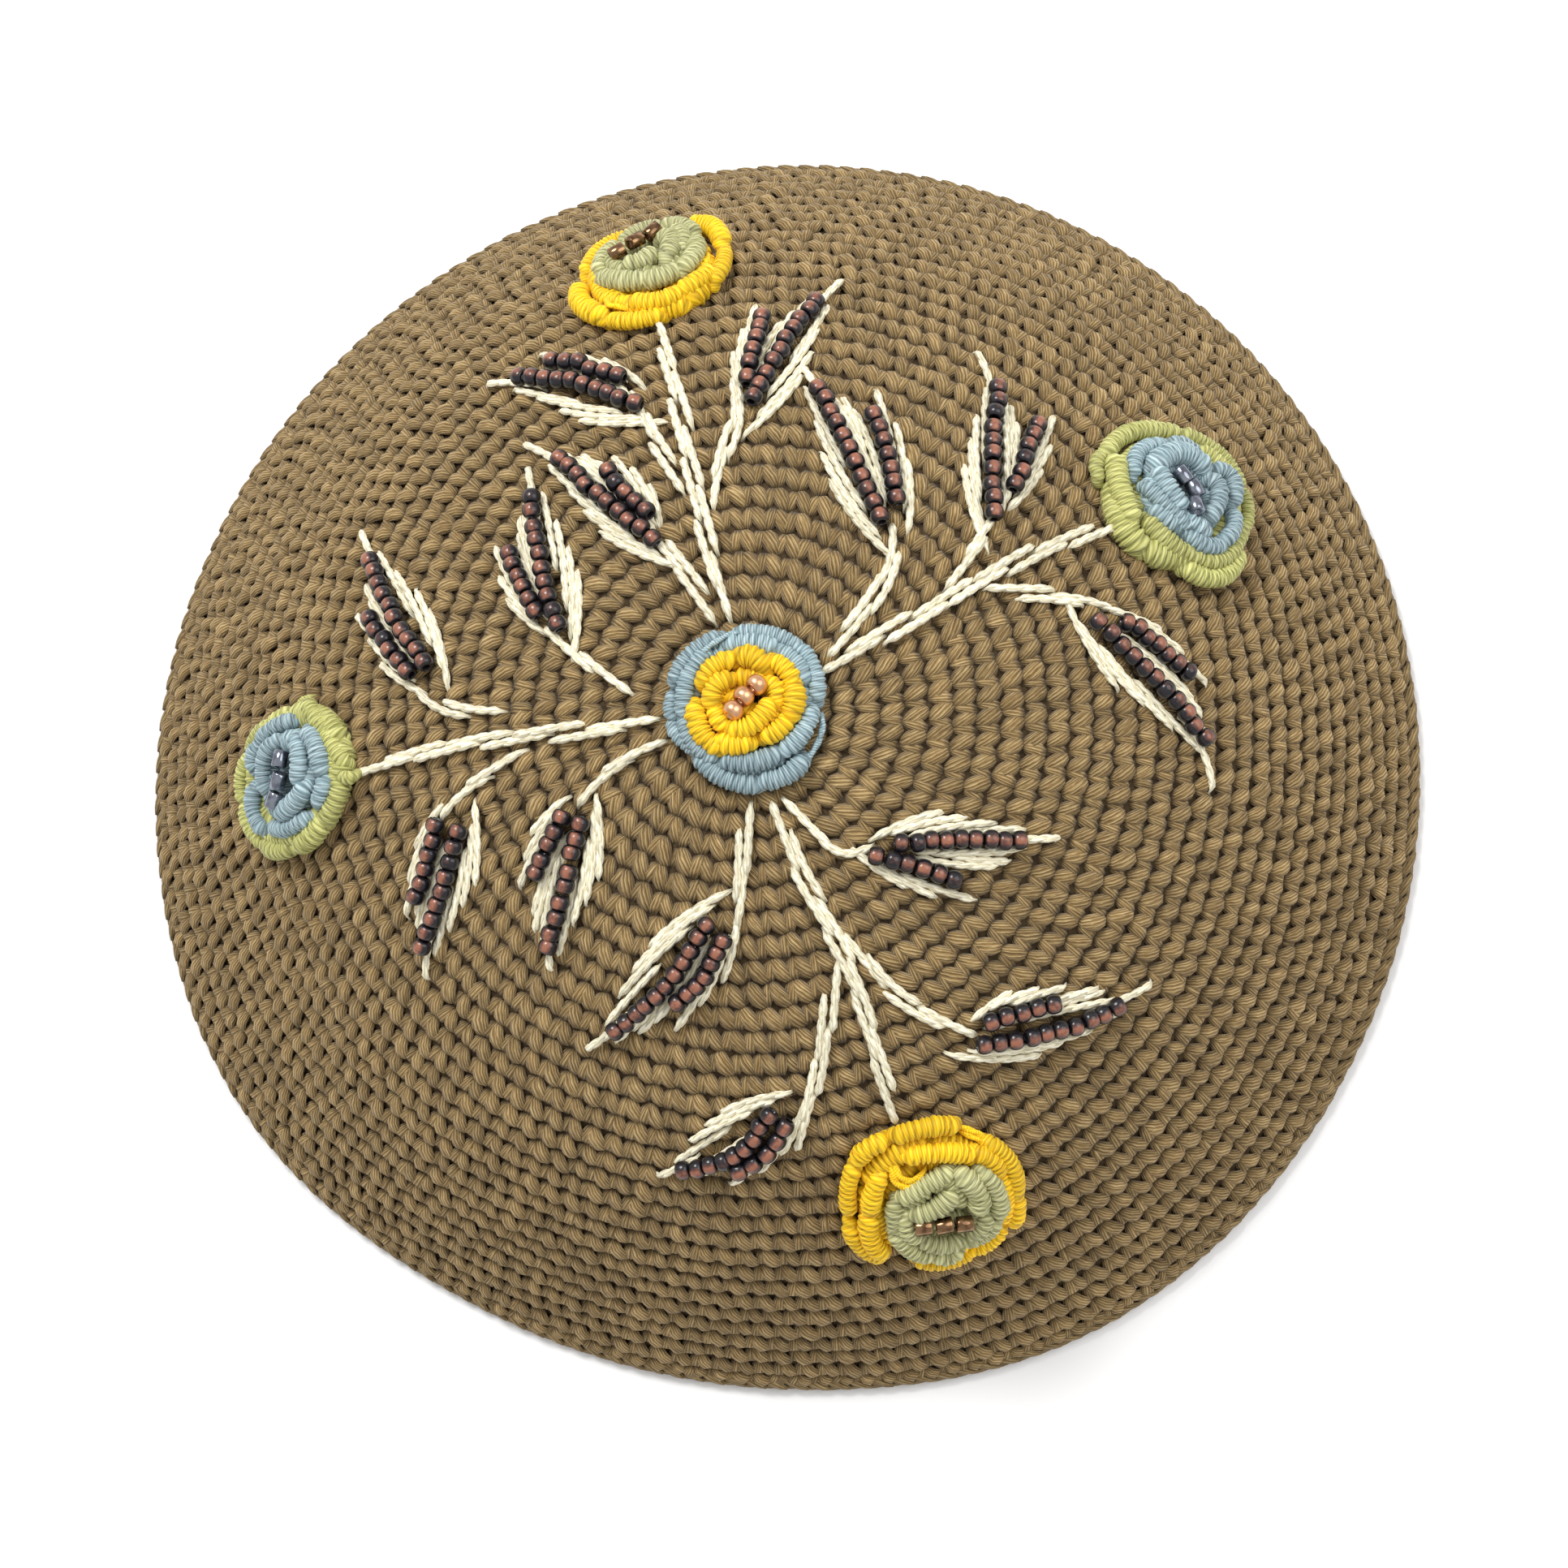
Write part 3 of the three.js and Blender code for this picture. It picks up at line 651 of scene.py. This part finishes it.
for number, (tip, long_row, short_row) in enumerate(leaves, 1):
    long_foot, long_top = np.array(long_row[:2], float)
    short_foot, short_top = np.array(short_row[:2], float)
    paths, lifts = [], []
    for foot, top, other, fan in ((long_foot, long_top, short_top, beside_long),
                                  (long_foot, long_top, short_top, between),
                                  (short_foot, short_top, long_top, beside_short)):
        paths += fanned_stitches(foot, top, other, fan)
        lifts += [0.0002 + 0.00015 * (k % 3) for k in range(len(fan))]
    to_tip = np.array(tip) - long_top
    paths.append([long_foot + (long_top - long_foot) * 0.8, long_top + to_tip * 0.3, tip])
    lifts.append(0.0005)
    lots = thread_stitches(paths, lifts, leaf_thread)
    lots.append(bead_row(long_foot, long_top, *long_row[2:]))
    lots.append(bead_row(short_foot, short_top, *short_row[2:]))
    sew_on(f"leaf_{number:02d}_stitches_and_beads", lots, [cream_thread, lined_glass],
           [f"leaf_{number:02d}"])


# The roses: bullion stitches, each a roll of cotton floss wound some twenty times round its own core and laid
# down in a curve. Two rounds of rolls in one colour circle a heart of rolls in another, and three beads fill
# its slot. A bed of low rolls pads it, so that no cloth shows between the others.
wrap_pitch = 0.74
loose_strand = 1.2              # thinner than this, a roll is a loose strand that was not wound
roll_sides = 10
roll_end = 1.2                  # the length over which a roll's end slims and is drawn down
roll_arch = 0.0003
roll_dive = 0.0013
slot_lift = 0.0046


def place_on_rose(middle, seen, rolls):
    """Chart points for rolls given as the flower is seen: its slope shortens it away from the crown's top."""
    rolls = np.asarray(rolls, float)
    away = np.array(middle) / max(np.hypot(*middle), 1)
    outwards = rolls @ away
    far = max(np.hypot(*middle) / 1000 / chart_reach * wall_length, 0.0001)
    girth_share = float(np.interp(far, curve_length, curve_radius)) / far
    aside = rolls - outwards[..., None] * away
    return np.array(middle) + (outwards / seen)[..., None] * away + aside / min(girth_share, 1.0)


def bullion(path, lift, thickness):
    """One wound roll along a bent path on the chart, with both its ends drawn down into the cloth."""
    start, bend, end = path
    rough = np.hypot(*(bend - start)) + np.hypot(*(end - bend))
    wraps = max(4, int(round(rough / wrap_pitch)))
    stations = wraps * 4 + 1
    part = np.linspace(0, 1, stations)[:, None]
    line = start * (1 - part) * (1 - 2 * part) + bend * 4 * part * (1 - part) + end * part * (2 * part - 1)
    part = part[:, 0]
    ends = np.clip(np.minimum(part, 1 - part) * rough / roll_end, 0, 1)
    arch = lift + roll_arch * np.sin(math.pi * part) - roll_dive * (1 - ends) ** 2
    centre, up = on_chart(line[:, 0], line[:, 1], arch)
    swell = thickness / 2000 * (0.6 + 0.4 * np.sqrt(ends)) * (1 + 0.03 * np.sin(part * 9 + lift * 9000))
    lot = yarn(centre[None], up[None], swell[None], swell[None], roll_sides, chance.uniform(0.2, 1))
    points = lot["points"].reshape(stations, roll_sides, 3)
    turn = 2 * math.pi * np.arange(roll_sides) / roll_sides
    uneven = np.interp(part * wraps, np.arange(wraps + 1), chance.normal(0, 0.14, wraps + 1))
    fullness = np.interp(part * wraps, np.arange(wraps + 1), chance.normal(1, 0.035, wraps + 1))
    phase = (part * wraps + uneven)[:, None] + 0.3 * np.cos(turn + chance.uniform(0, 1))
    ridge = np.abs(np.sin(math.pi * phase)) ** 0.65
    bulge = (0.76 + 0.28 * ridge) * fullness[:, None]
    points = centre[:, None] + (points - centre[:, None]) * bulge[..., None]
    lot["points"] = points.reshape(-1, 3)
    # Painted shade: each roll is painted darker down in the grooves between its wraps.
    lot["depth"] = (0.05 + 0.95 * ridge).reshape(-1)
    return lot


def bed_rolls(rolls, share, count, thickness, level):
    """Low rolls laid round an oval below the others, which keep the cloth from showing between them."""
    spots = np.array([roll[:6] for roll in rolls]).reshape(-1, 2)
    low, high = spots.min(axis=0), spots.max(axis=0)
    turn = np.linspace(0, 2 * math.pi, 2 * count + 1) + 0.4
    at = (low + high) / 2 + (high - low) / 2 * share * np.stack([np.cos(turn), np.sin(turn)], -1)
    return [(*at[2 * k], *at[2 * k + 1], *at[2 * k + 2], thickness, level) for k in range(count)]


def floss(name, deep, body, bright):
    """Shiny stranded cotton, its plies lying across the roll as it is wound."""
    return cotton(name, deep, body, bright, plies=1.5, twist=3.1, relief=0.00005, roughness=0.55, sheen=0.08)


def bright_metal(name, body, worn, roughness):
    """Glass beads with a metal coat that is worn duller here and there."""
    finish, tree, shader = new_finish(name)
    shader.inputs["Metallic"].default_value = 0.9
    shader.inputs["Roughness"].default_value = roughness
    place = tree.nodes.new("ShaderNodeTexCoord")
    wear = clouds(tree, place.outputs["Object"], 1100, 3)
    tree.links.new(colour_steps(tree, wear, (0.35, worn), (0.65, body)), shader.inputs["Base Color"])
    return finish


yellow_floss = floss("yellow_floss", (0.5, 0.21, 0.001), (0.91, 0.54, 0.004), (1.0, 0.76, 0.035))
sage_floss = floss("sage_floss", (0.16, 0.155, 0.052), (0.44, 0.435, 0.195), (0.73, 0.715, 0.42))
blue_floss = floss("blue_floss", (0.065, 0.115, 0.132), (0.25, 0.352, 0.385), (0.55, 0.66, 0.68))
lime_floss = floss("lime_floss", (0.16, 0.155, 0.03), (0.44, 0.435, 0.135), (0.71, 0.7, 0.31))
copper_bead = bright_metal("copper_bead", (0.8, 0.47, 0.27), (0.62, 0.33, 0.18), 0.32)
bronze_bead = bright_metal("bronze_bead", (0.33, 0.19, 0.095), (0.13, 0.07, 0.035), 0.16)
grey_bead = bright_metal("grey_bead", (0.3, 0.32, 0.37), (0.14, 0.15, 0.19), 0.14)
round_bead = seed_profile(0.0019, 0.00137, 0.00048)
cut_bead = [(-0.00108, 0.00098), (-0.00098, 0.00108), (0.00098, 0.00108), (0.00108, 0.00098),
            (0.00106, 0.0005), (-0.00106, 0.0005)]

# Each roll is its start, its bend and its end, millimetres right and up of the flower's middle as it is seen,
# then its thickness and how high it lies.
centre_ring = [
    (-2.6, 9.2, -6.9, 6.6, -8.7, 3.1, 2.2, 1.4), (-8.8, 2.6, -9.2, 0.2, -8.6, -1.4, 1.9, 1.1),
    (-9.4, -1.6, -7.6, -3.9, -5.6, -5.4, 2.0, 1.2), (-5.9, -5.8, -2.2, -8.9, 2.2, -9.6, 2.3, 1.3),
    (1.4, -9.3, 5.2, -8.6, 7.6, -6.2, 2.3, 1.5), (7.2, -7.2, 9.5, -4.0, 9.7, -0.4, 0.9, 1.6),
    (-1.4, 9.3, 3.2, 9.3, 7.4, 7.2, 2.0, 1.4), (6.6, 7.7, 8.7, 4.9, 9.2, 0.4, 2.0, 1.5),
    (-4.4, 7.0, -7.0, 3.4, -7.3, -1.4, 2.2, 2.2), (-7.3, -0.9, -6.3, -4.2, -3.0, -6.7, 2.1, 2.0),
    (-2.8, -6.5, 1.0, -7.0, 4.8, -5.6, 2.3, 2.3), (4.3, -5.9, 7.2, -3.6, 8.6, -0.2, 2.2, 2.4),
    (-2.6, 7.7, 1.2, 8.0, 4.3, 7.2, 2.2, 2.3), (4.0, 7.2, 6.6, 5.4, 7.5, 2.8, 2.1, 2.3),
    (-5.6, 6.2, -3.4, 8.2, -0.2, 9.6, 0.8, 3.0),
]
centre_heart = [
    (-5.2, 2.4, -3.6, 5.0, -0.6, 5.9, 2.3, 3.0), (-0.9, 6.0, 1.4, 6.0, 3.1, 4.2, 2.6, 3.2),
    (3.0, 5.8, 5.4, 4.5, 6.4, 2.2, 2.3, 3.0), (6.0, 3.2, 6.5, 0.4, 5.6, -1.8, 2.6, 3.2),
    (5.9, -1.2, 4.4, -3.1, 2.0, -4.1, 2.3, 3.0), (1.5, -4.4, -1.2, -4.9, -3.4, -4.2, 2.4, 3.1),
    (-2.4, -5.3, -5.1, -3.3, -6.0, 0.8, 2.4, 3.0), (-1.0, 3.4, -3.4, 2.4, -3.7, -0.6, 2.3, 3.4),
    (-3.6, 0.4, -3.0, -1.6, -1.8, -3.0, 2.2, 3.1), (-1.7, -2.9, 1.4, -2.4, 3.9, 0.9, 2.4, 3.7),
    (2.6, 3.0, 4.2, 2.0, 4.3, -0.4, 2.2, 3.1), (-2.0, 2.0, 0.0, 0.0, 2.4, -1.6, 2.4, 2.2),
]
top_ring = [
    (-2.2, 7.2, -7.0, 5.4, -9.2, 0.8, 2.0, 1.6), (-9.2, -1.1, -8.6, -4.0, -5.0, -5.9, 2.6, 1.6),
    (-5.2, -5.7, -1.5, -6.4, 2.2, -5.2, 2.1, 1.2), (-2.2, -4.4, 1.7, -4.6, 4.4, -3.1, 2.3, 2.1),
    (3.9, -3.3, 6.5, -1.8, 8.2, 0.0, 2.3, 2.0), (4.6, 7.7, 8.0, 6.9, 9.4, 4.0, 2.5, 2.0),
    (9.5, 3.9, 9.6, 1.2, 8.2, -1.6, 2.0, 1.6), (7.4, 2.8, 7.6, 1.2, 7.0, -0.8, 1.0, 2.4),
    (6.0, 6.9, 1.5, 7.4, -2.8, 5.8, 2.1, 1.4), (-4.8, -3.4, -4.6, -5.0, -2.0, -5.2, 0.9, 2.7),
    (-6.7, -1.2, -5.4, -3.4, -2.4, -4.2, 2.1, 1.6), (-6.8, 2.0, -7.0, 0.4, -6.6, -1.6, 2.0, 1.8),
]
top_heart = [
    (-4.2, 3.9, -6.0, 2.0, -6.3, -0.6, 2.2, 2.8), (-6.2, -1.2, -2.9, -2.3, 0.2, -2.0, 2.5, 3.0),
    (-0.6, -2.0, 2.0, -1.9, 4.2, -0.4, 2.4, 2.8), (4.2, -1.0, 6.0, 1.0, 6.0, 3.8, 2.4, 3.0),
    (6.0, 4.6, 4.0, 6.4, 1.2, 6.3, 2.3, 2.8), (1.4, 6.5, -1.6, 6.0, -4.2, 4.0, 2.2, 2.8),
    (-3.0, -0.4, -0.5, 0.1, 1.1, 1.7, 2.3, 3.5), (1.2, 3.5, 3.2, 2.7, 2.2, 0.0, 2.5, 3.7),
    (3.0, 5.6, 4.3, 3.7, 4.4, 1.4, 2.3, 3.2), (-4.6, 1.6, -4.4, 0.2, -2.0, -0.6, 2.1, 2.8),
]
right_ring = [
    (-7.9, 5.4, -4.9, 9.1, 1.3, 10.1, 2.2, 1.5), (1.0, 10.2, 5.9, 8.2, 9.3, 3.4, 1.9, 1.5),
    (8.9, 3.6, 9.9, 0.6, 9.5, -2.8, 1.7, 1.4), (-7.9, 5.9, -8.9, 4.0, -8.2, 1.8, 1.8, 1.3),
    (-7.0, 4.6, -6.5, 0.3, -4.7, -3.6, 2.6, 2.2), (-3.6, -2.8, -0.6, -6.2, 2.4, -7.4, 2.4, 1.9),
    (1.4, -8.6, 5.6, -10.0, 9.0, -5.8, 2.3, 1.5), (-5.6, -4.2, -4.1, -5.8, -2.4, -6.8, 1.1, 1.4),
    (2.0, -7.2, 6.2, -7.6, 9.0, -2.0, 2.0, 1.9), (2.6, 7.6, 5.4, 6.0, 7.4, 3.6, 2.0, 2.2),
]
right_heart = [
    (-5.0, 2.0, -4.5, 5.6, -1.1, 7.2, 2.0, 2.6), (-1.4, 7.3, 1.1, 7.3, 3.0, 6.0, 2.0, 2.6),
    (-4.0, 1.2, -1.4, -1.8, 1.6, -4.4, 2.1, 2.8), (1.0, -4.6, 3.4, -6.4, 6.0, -5.6, 2.1, 2.6),
    (3.9, 4.2, 6.6, 3.4, 6.9, -0.8, 2.1, 3.1), (6.9, -0.8, 6.8, -3.8, 5.4, -5.6, 2.1, 2.8),
    (-3.4, 3.0, -0.4, 5.4, 3.2, 3.8, 2.8, 3.5), (-2.8, 3.0, -1.5, 0.3, 0.5, -2.0, 2.5, 3.4),
    (3.3, 2.8, 4.7, 0.4, 3.0, -3.6, 2.2, 3.5), (0.8, -2.4, 2.0, -4.0, 4.0, -4.6, 2.1, 3.0),
    (0.4, 4.0, 1.6, 1.0, 3.4, -2.0, 2.4, 1.8),
]
left_ring = [
    (0.9, 9.0, 2.7, 6.6, 4.2, 4.2, 2.3, 1.7), (3.5, 5.2, 5.1, 2.5, 6.4, 0.2, 2.2, 1.5),
    (5.2, -0.4, 7.0, -1.5, 7.6, -0.8, 1.6, 1.8), (5.9, -1.4, 5.3, -4.3, 3.4, -6.8, 2.4, 1.6),
    (4.0, -6.0, 2.2, -8.2, 0.0, -9.1, 2.6, 1.8), (-0.8, -8.9, -3.1, -9.4, -5.6, -8.1, 2.3, 1.6),
    (-5.6, -8.4, -7.8, -5.8, -8.7, -2.3, 1.9, 1.5), (-8.7, -2.6, -9.0, 0.8, -7.5, 4.0, 1.9, 1.5),
    (-7.6, 3.7, -6.4, 5.9, -4.6, 7.2, 2.0, 1.4), (-3.0, 7.0, -1.0, 8.6, 1.1, 10.2, 1.0, 1.4),
    (-4.2, 6.6, -1.4, 7.4, 1.6, 7.8, 1.8, 1.2), (-5.4, -6.4, -1.6, -8.0, 2.6, -6.6, 2.0, 1.6),
    (4.2, 3.0, 5.0, 0.6, 4.8, -3.0, 1.9, 1.6),
]
left_heart = [
    (-4.6, 4.0, -2.8, 5.9, 0.6, 6.8, 2.1, 2.7), (-5.4, 0.9, -5.6, 3.2, -4.2, 4.8, 2.1, 2.6),
    (-5.5, -0.3, -5.7, -3.9, -4.2, -6.8, 2.1, 2.7), (-3.2, -6.2, -0.3, -6.8, 2.6, -5.5, 2.1, 2.7),
    (2.0, 5.2, 3.8, 2.5, 4.4, -1.0, 2.4, 2.9), (4.5, -0.9, 4.4, -2.9, 3.4, -4.4, 2.2, 2.7),
    (-0.6, 4.5, -3.0, 2.4, -3.2, -2.2, 2.2, 3.3), (1.0, 4.4, 2.1, 1.6, 1.6, -1.8, 2.3, 3.6),
    (2.8, -1.7, 1.5, -3.7, -1.4, -5.1, 2.4, 3.5), (-3.2, 0.6, -2.4, -2.0, -3.2, -4.6, 2.2, 2.0),
    (-1.0, 4.0, -1.0, 0.0, -0.8, -4.0, 2.3, 1.6),
]
bottom_ring = [
    (-4.9, 7.4, -0.9, 8.9, 3.1, 9.0, 2.3, 1.6), (2.9, 8.8, 5.2, 8.3, 6.7, 7.0, 0.9, 1.6),
    (3.1, 8.2, 5.2, 7.6, 6.6, 6.4, 0.9, 1.7), (6.3, 7.0, 9.5, 4.2, 10.3, -0.8, 2.3, 1.6),
    (10.3, 0.2, 10.6, -2.2, 10.1, -4.0, 2.2, 1.4), (9.1, -3.8, 7.4, -6.6, 4.2, -8.1, 1.8, 1.3),
    (5.4, -7.8, 1.7, -9.5, -2.4, -9.5, 1.9, 1.2), (-5.2, 7.2, -8.0, 6.0, -9.0, 4.2, 2.3, 1.5),
    (-9.3, 4.0, -10.4, 1.0, -10.3, -2.6, 2.1, 1.5), (-10.4, -3.6, -9.2, -7.0, -6.0, -8.7, 2.2, 1.4),
    (-3.6, 5.4, 0.7, 6.3, 5.0, 5.7, 2.4, 2.3), (4.4, 6.2, 7.0, 5.2, 8.1, 3.2, 2.2, 2.2),
    (-5.2, 4.9, -4.0, 2.2, -0.8, 3.7, 1.1, 3.0), (-4.8, 5.1, -3.4, 2.9, -0.8, 4.3, 1.0, 3.0),
    (-6.2, 3.6, -7.5, 0.8, -7.8, -2.2, 2.3, 2.3), (-7.8, -1.6, -8.0, -5.1, -6.2, -7.9, 2.5, 2.2),
    (7.8, 3.8, 8.9, 0.4, 8.6, -3.4, 2.1, 1.9),
]
bottom_heart = [
    (2.2, 4.4, -1.3, 2.4, -4.4, 0.3, 2.3, 2.9), (-4.5, 0.5, -5.0, -1.8, -4.0, -3.9, 2.3, 2.8),
    (-5.4, -3.3, -3.1, -6.2, -0.3, -7.3, 2.3, 2.8), (-0.7, -7.2, 1.7, -7.4, 3.1, -6.2, 2.2, 2.7),
    (5.0, 4.4, 7.5, 1.6, 7.8, -1.9, 2.3, 2.9), (7.8, -1.8, 6.2, -4.2, 3.5, -5.3, 2.2, 2.7),
    (-2.9, -1.2, -0.1, -0.1, 2.4, 2.1, 2.5, 3.6), (2.5, 4.2, 4.9, 2.0, 5.0, -0.8, 2.6, 3.5),
    (6.1, -1.0, 5.6, -3.0, 3.7, -4.4, 2.2, 3.2), (-2.2, -4.4, 0.5, -5.2, 3.3, -4.6, 2.3, 3.4),
    (-3.7, -1.0, -3.5, -3.2, -1.8, -5.0, 2.2, 3.2), (-2.2, -2.7, 1.0, -2.6, 4.4, -2.2, 2.4, 2.0),
    (1.0, 3.4, 2.5, 1.9, 3.3, -0.8, 2.2, 2.6),
]
# Each rose: its middle on the chart, how much its slope shortens it as it is seen, the rolls of its ring and
# of its heart with their floss and slot, and its beads: their finish, their shape and their places.
roses = [
    ("centre", (0, 0), 1.0, (centre_ring, blue_floss, "thread_blue"),
     (centre_heart, yellow_floss, "thread_yellow"),
     (copper_bead, "round", [(1.9, 2.4), (0.3, 0.95), (-1.0, -0.8)])),
    ("top", (-15.8, 66), 0.66, (top_ring, yellow_floss, "thread_yellow"),
     (top_heart, sage_floss, "thread_sage"),
     (bronze_bead, "cut", [(0.6, 4.0), (-1.5, 2.6), (-3.7, 1.0)])),
    ("right", (56.6, 31.2), 0.75, (right_ring, lime_floss, "thread_lime"),
     (right_heart, blue_floss, "thread_blue"),
     (grey_bead, "cut", [(-0.2, 1.9), (1.2, 0.2), (1.3, -2.0)])),
    ("left", (-63.4, -5), 0.72, (left_ring, lime_floss, "thread_lime"),
     (left_heart, blue_floss, "thread_blue"),
     (grey_bead, "cut", [(0.0, 1.7), (-0.2, -0.9), (-0.9, -3.2)])),
    ("bottom", (23.6, -64.0), 0.84, (bottom_ring, yellow_floss, "thread_yellow"),
     (bottom_heart, sage_floss, "thread_sage"),
     (bronze_bead, "cut", [(-1.7, -2.2), (0.8, -2.0), (3.2, -1.8)])),
]


def rose_rolls(middle, seen, rolls):
    """All the rolls and loose strands of one colour of a rose, in the order in which they are worked."""
    lots = []
    for roll in rolls:
        path = place_on_rose(middle, seen, [roll[0:2], roll[2:4], roll[4:6]])
        if roll[6] < loose_strand:
            lots += thread_stitches([path], [roll[7] * 0.001], roll[6] * 0.001)
        else:
            lots.append(bullion(path, roll[7] * 0.001, roll[6] * 1.15))
    return lots


for name, middle, seen, ring, heart, beads in roses:
    rolls, colour, slot_name = ring
    under = bed_rolls(rolls, 0.74, 5, 3.3, 0.7) + bed_rolls(rolls, 0.46, 4, 2.6, 0.3)
    lots = rose_rolls(middle, seen, under + rolls)
    sew_on(f"rose_{name}_ring", lots, [colour], [f"rose_{name}_petals"])

    rolls, colour, slot_name = heart
    finish, shape, places = beads
    lots = rose_rolls(middle, seen, bed_rolls(rolls, 0.62, 4, 3.0, 1.8) + rolls)
    spots = place_on_rose(middle, seen, places)
    centres, up = on_chart(spots[:, 0], spots[:, 1], slot_lift)
    along = np.gradient(centres, axis=0)
    along += chance.normal(0, 0.12, along.shape) * np.linalg.norm(along, axis=1, keepdims=True)
    if shape == "cut":
        lots.append(turned_beads(centres, along, up, cut_bead, 6, 1))
    else:
        lots.append(turned_beads(centres, along + up * 0.0009, up, round_bead, 20, 1))
    sew_on(f"rose_{name}_heart", lots, [colour, finish], [f"rose_{name}_heart"])


# The table that the cap lies on: plain, pale and matt paper, wide enough that its edge never shows behind the
# cap. It is only the stage.
table_reach = 12
floor_corners = [(-table_reach, -table_reach, 0), (table_reach, -table_reach, 0),
                 (table_reach, table_reach, 0), (-table_reach, table_reach, 0)]
floor_mesh = bpy.data.meshes.new("floor")
floor_mesh.from_pydata(floor_corners, [], [(0, 1, 2, 3)])
floor = bpy.data.objects.new("floor", floor_mesh)
bpy.context.scene.collection.objects.link(floor)
paper, _, paper_shader = new_finish("white_paper")
paper_shader.inputs["Base Color"].default_value = (0.9, 0.9, 0.9, 1)
paper_shader.inputs["Roughness"].default_value = 0.9
floor_mesh.materials.append(paper)


# Soft studio light: a bright even room, a wide lamp above and a little behind the cap, and a weaker one from
# its right. The picture shows the colours as they are.
world = bpy.data.worlds.new("studio")
bpy.context.scene.world = world
world.use_nodes = True
world.node_tree.nodes["Background"].inputs[0].default_value = (1, 1, 1, 1)
world.node_tree.nodes["Background"].inputs[1].default_value = 0.68
bpy.context.scene.view_settings.view_transform = "Standard"


def lamp(name, place, size, power):
    """A round soft lamp that points at the cap."""
    light = bpy.data.lights.new(name, "AREA")
    light.shape = "DISK"
    light.size = size
    light.energy = power
    lit = bpy.data.objects.new(name, light)
    lit.location = place
    lit.rotation_euler = (-Vector(place)).to_track_quat("-Z", "Y").to_euler()
    bpy.context.scene.collection.objects.link(lit)


lamp("wide_lamp", (-0.45, 0.65, 1.1), 0.6, 14)
lamp("fill_lamp", (0.7, 0.2, 0.9), 0.9, 5)


# The camera: almost overhead, 10 degrees off towards the lower right of the picture, turned so that the
# chart's up is the picture's up. Its lens gives the photograph's field of view.
tilt = math.radians(9.9)
bearing = math.radians(32.3)
distance = 0.666
sensor = 36
photo_width = 1932
focal_width = 6099.8            # the focal length in the photograph's own dots
raise_view = 0.00168
back = np.array([math.sin(bearing) * math.sin(tilt), -math.cos(bearing) * math.sin(tilt), math.cos(tilt)])
picture_up = np.array([0, 1, 0]) - back * back[1]
picture_up /= np.linalg.norm(picture_up)
picture_right = np.cross(picture_up, back)
camera_data = bpy.data.cameras.new("camera")
camera_data.sensor_width = sensor
camera_data.lens = sensor * focal_width / photo_width
camera = bpy.data.objects.new("camera", camera_data)
camera_spot = np.array([crown_middle[0], crown_middle[1], 0]) + back * distance - picture_up * raise_view
turned = np.column_stack([picture_right, picture_up, back, camera_spot])
camera.matrix_world = Matrix(turned.tolist() + [[0, 0, 0, 1]])
bpy.context.scene.collection.objects.link(camera)
bpy.context.scene.camera = camera
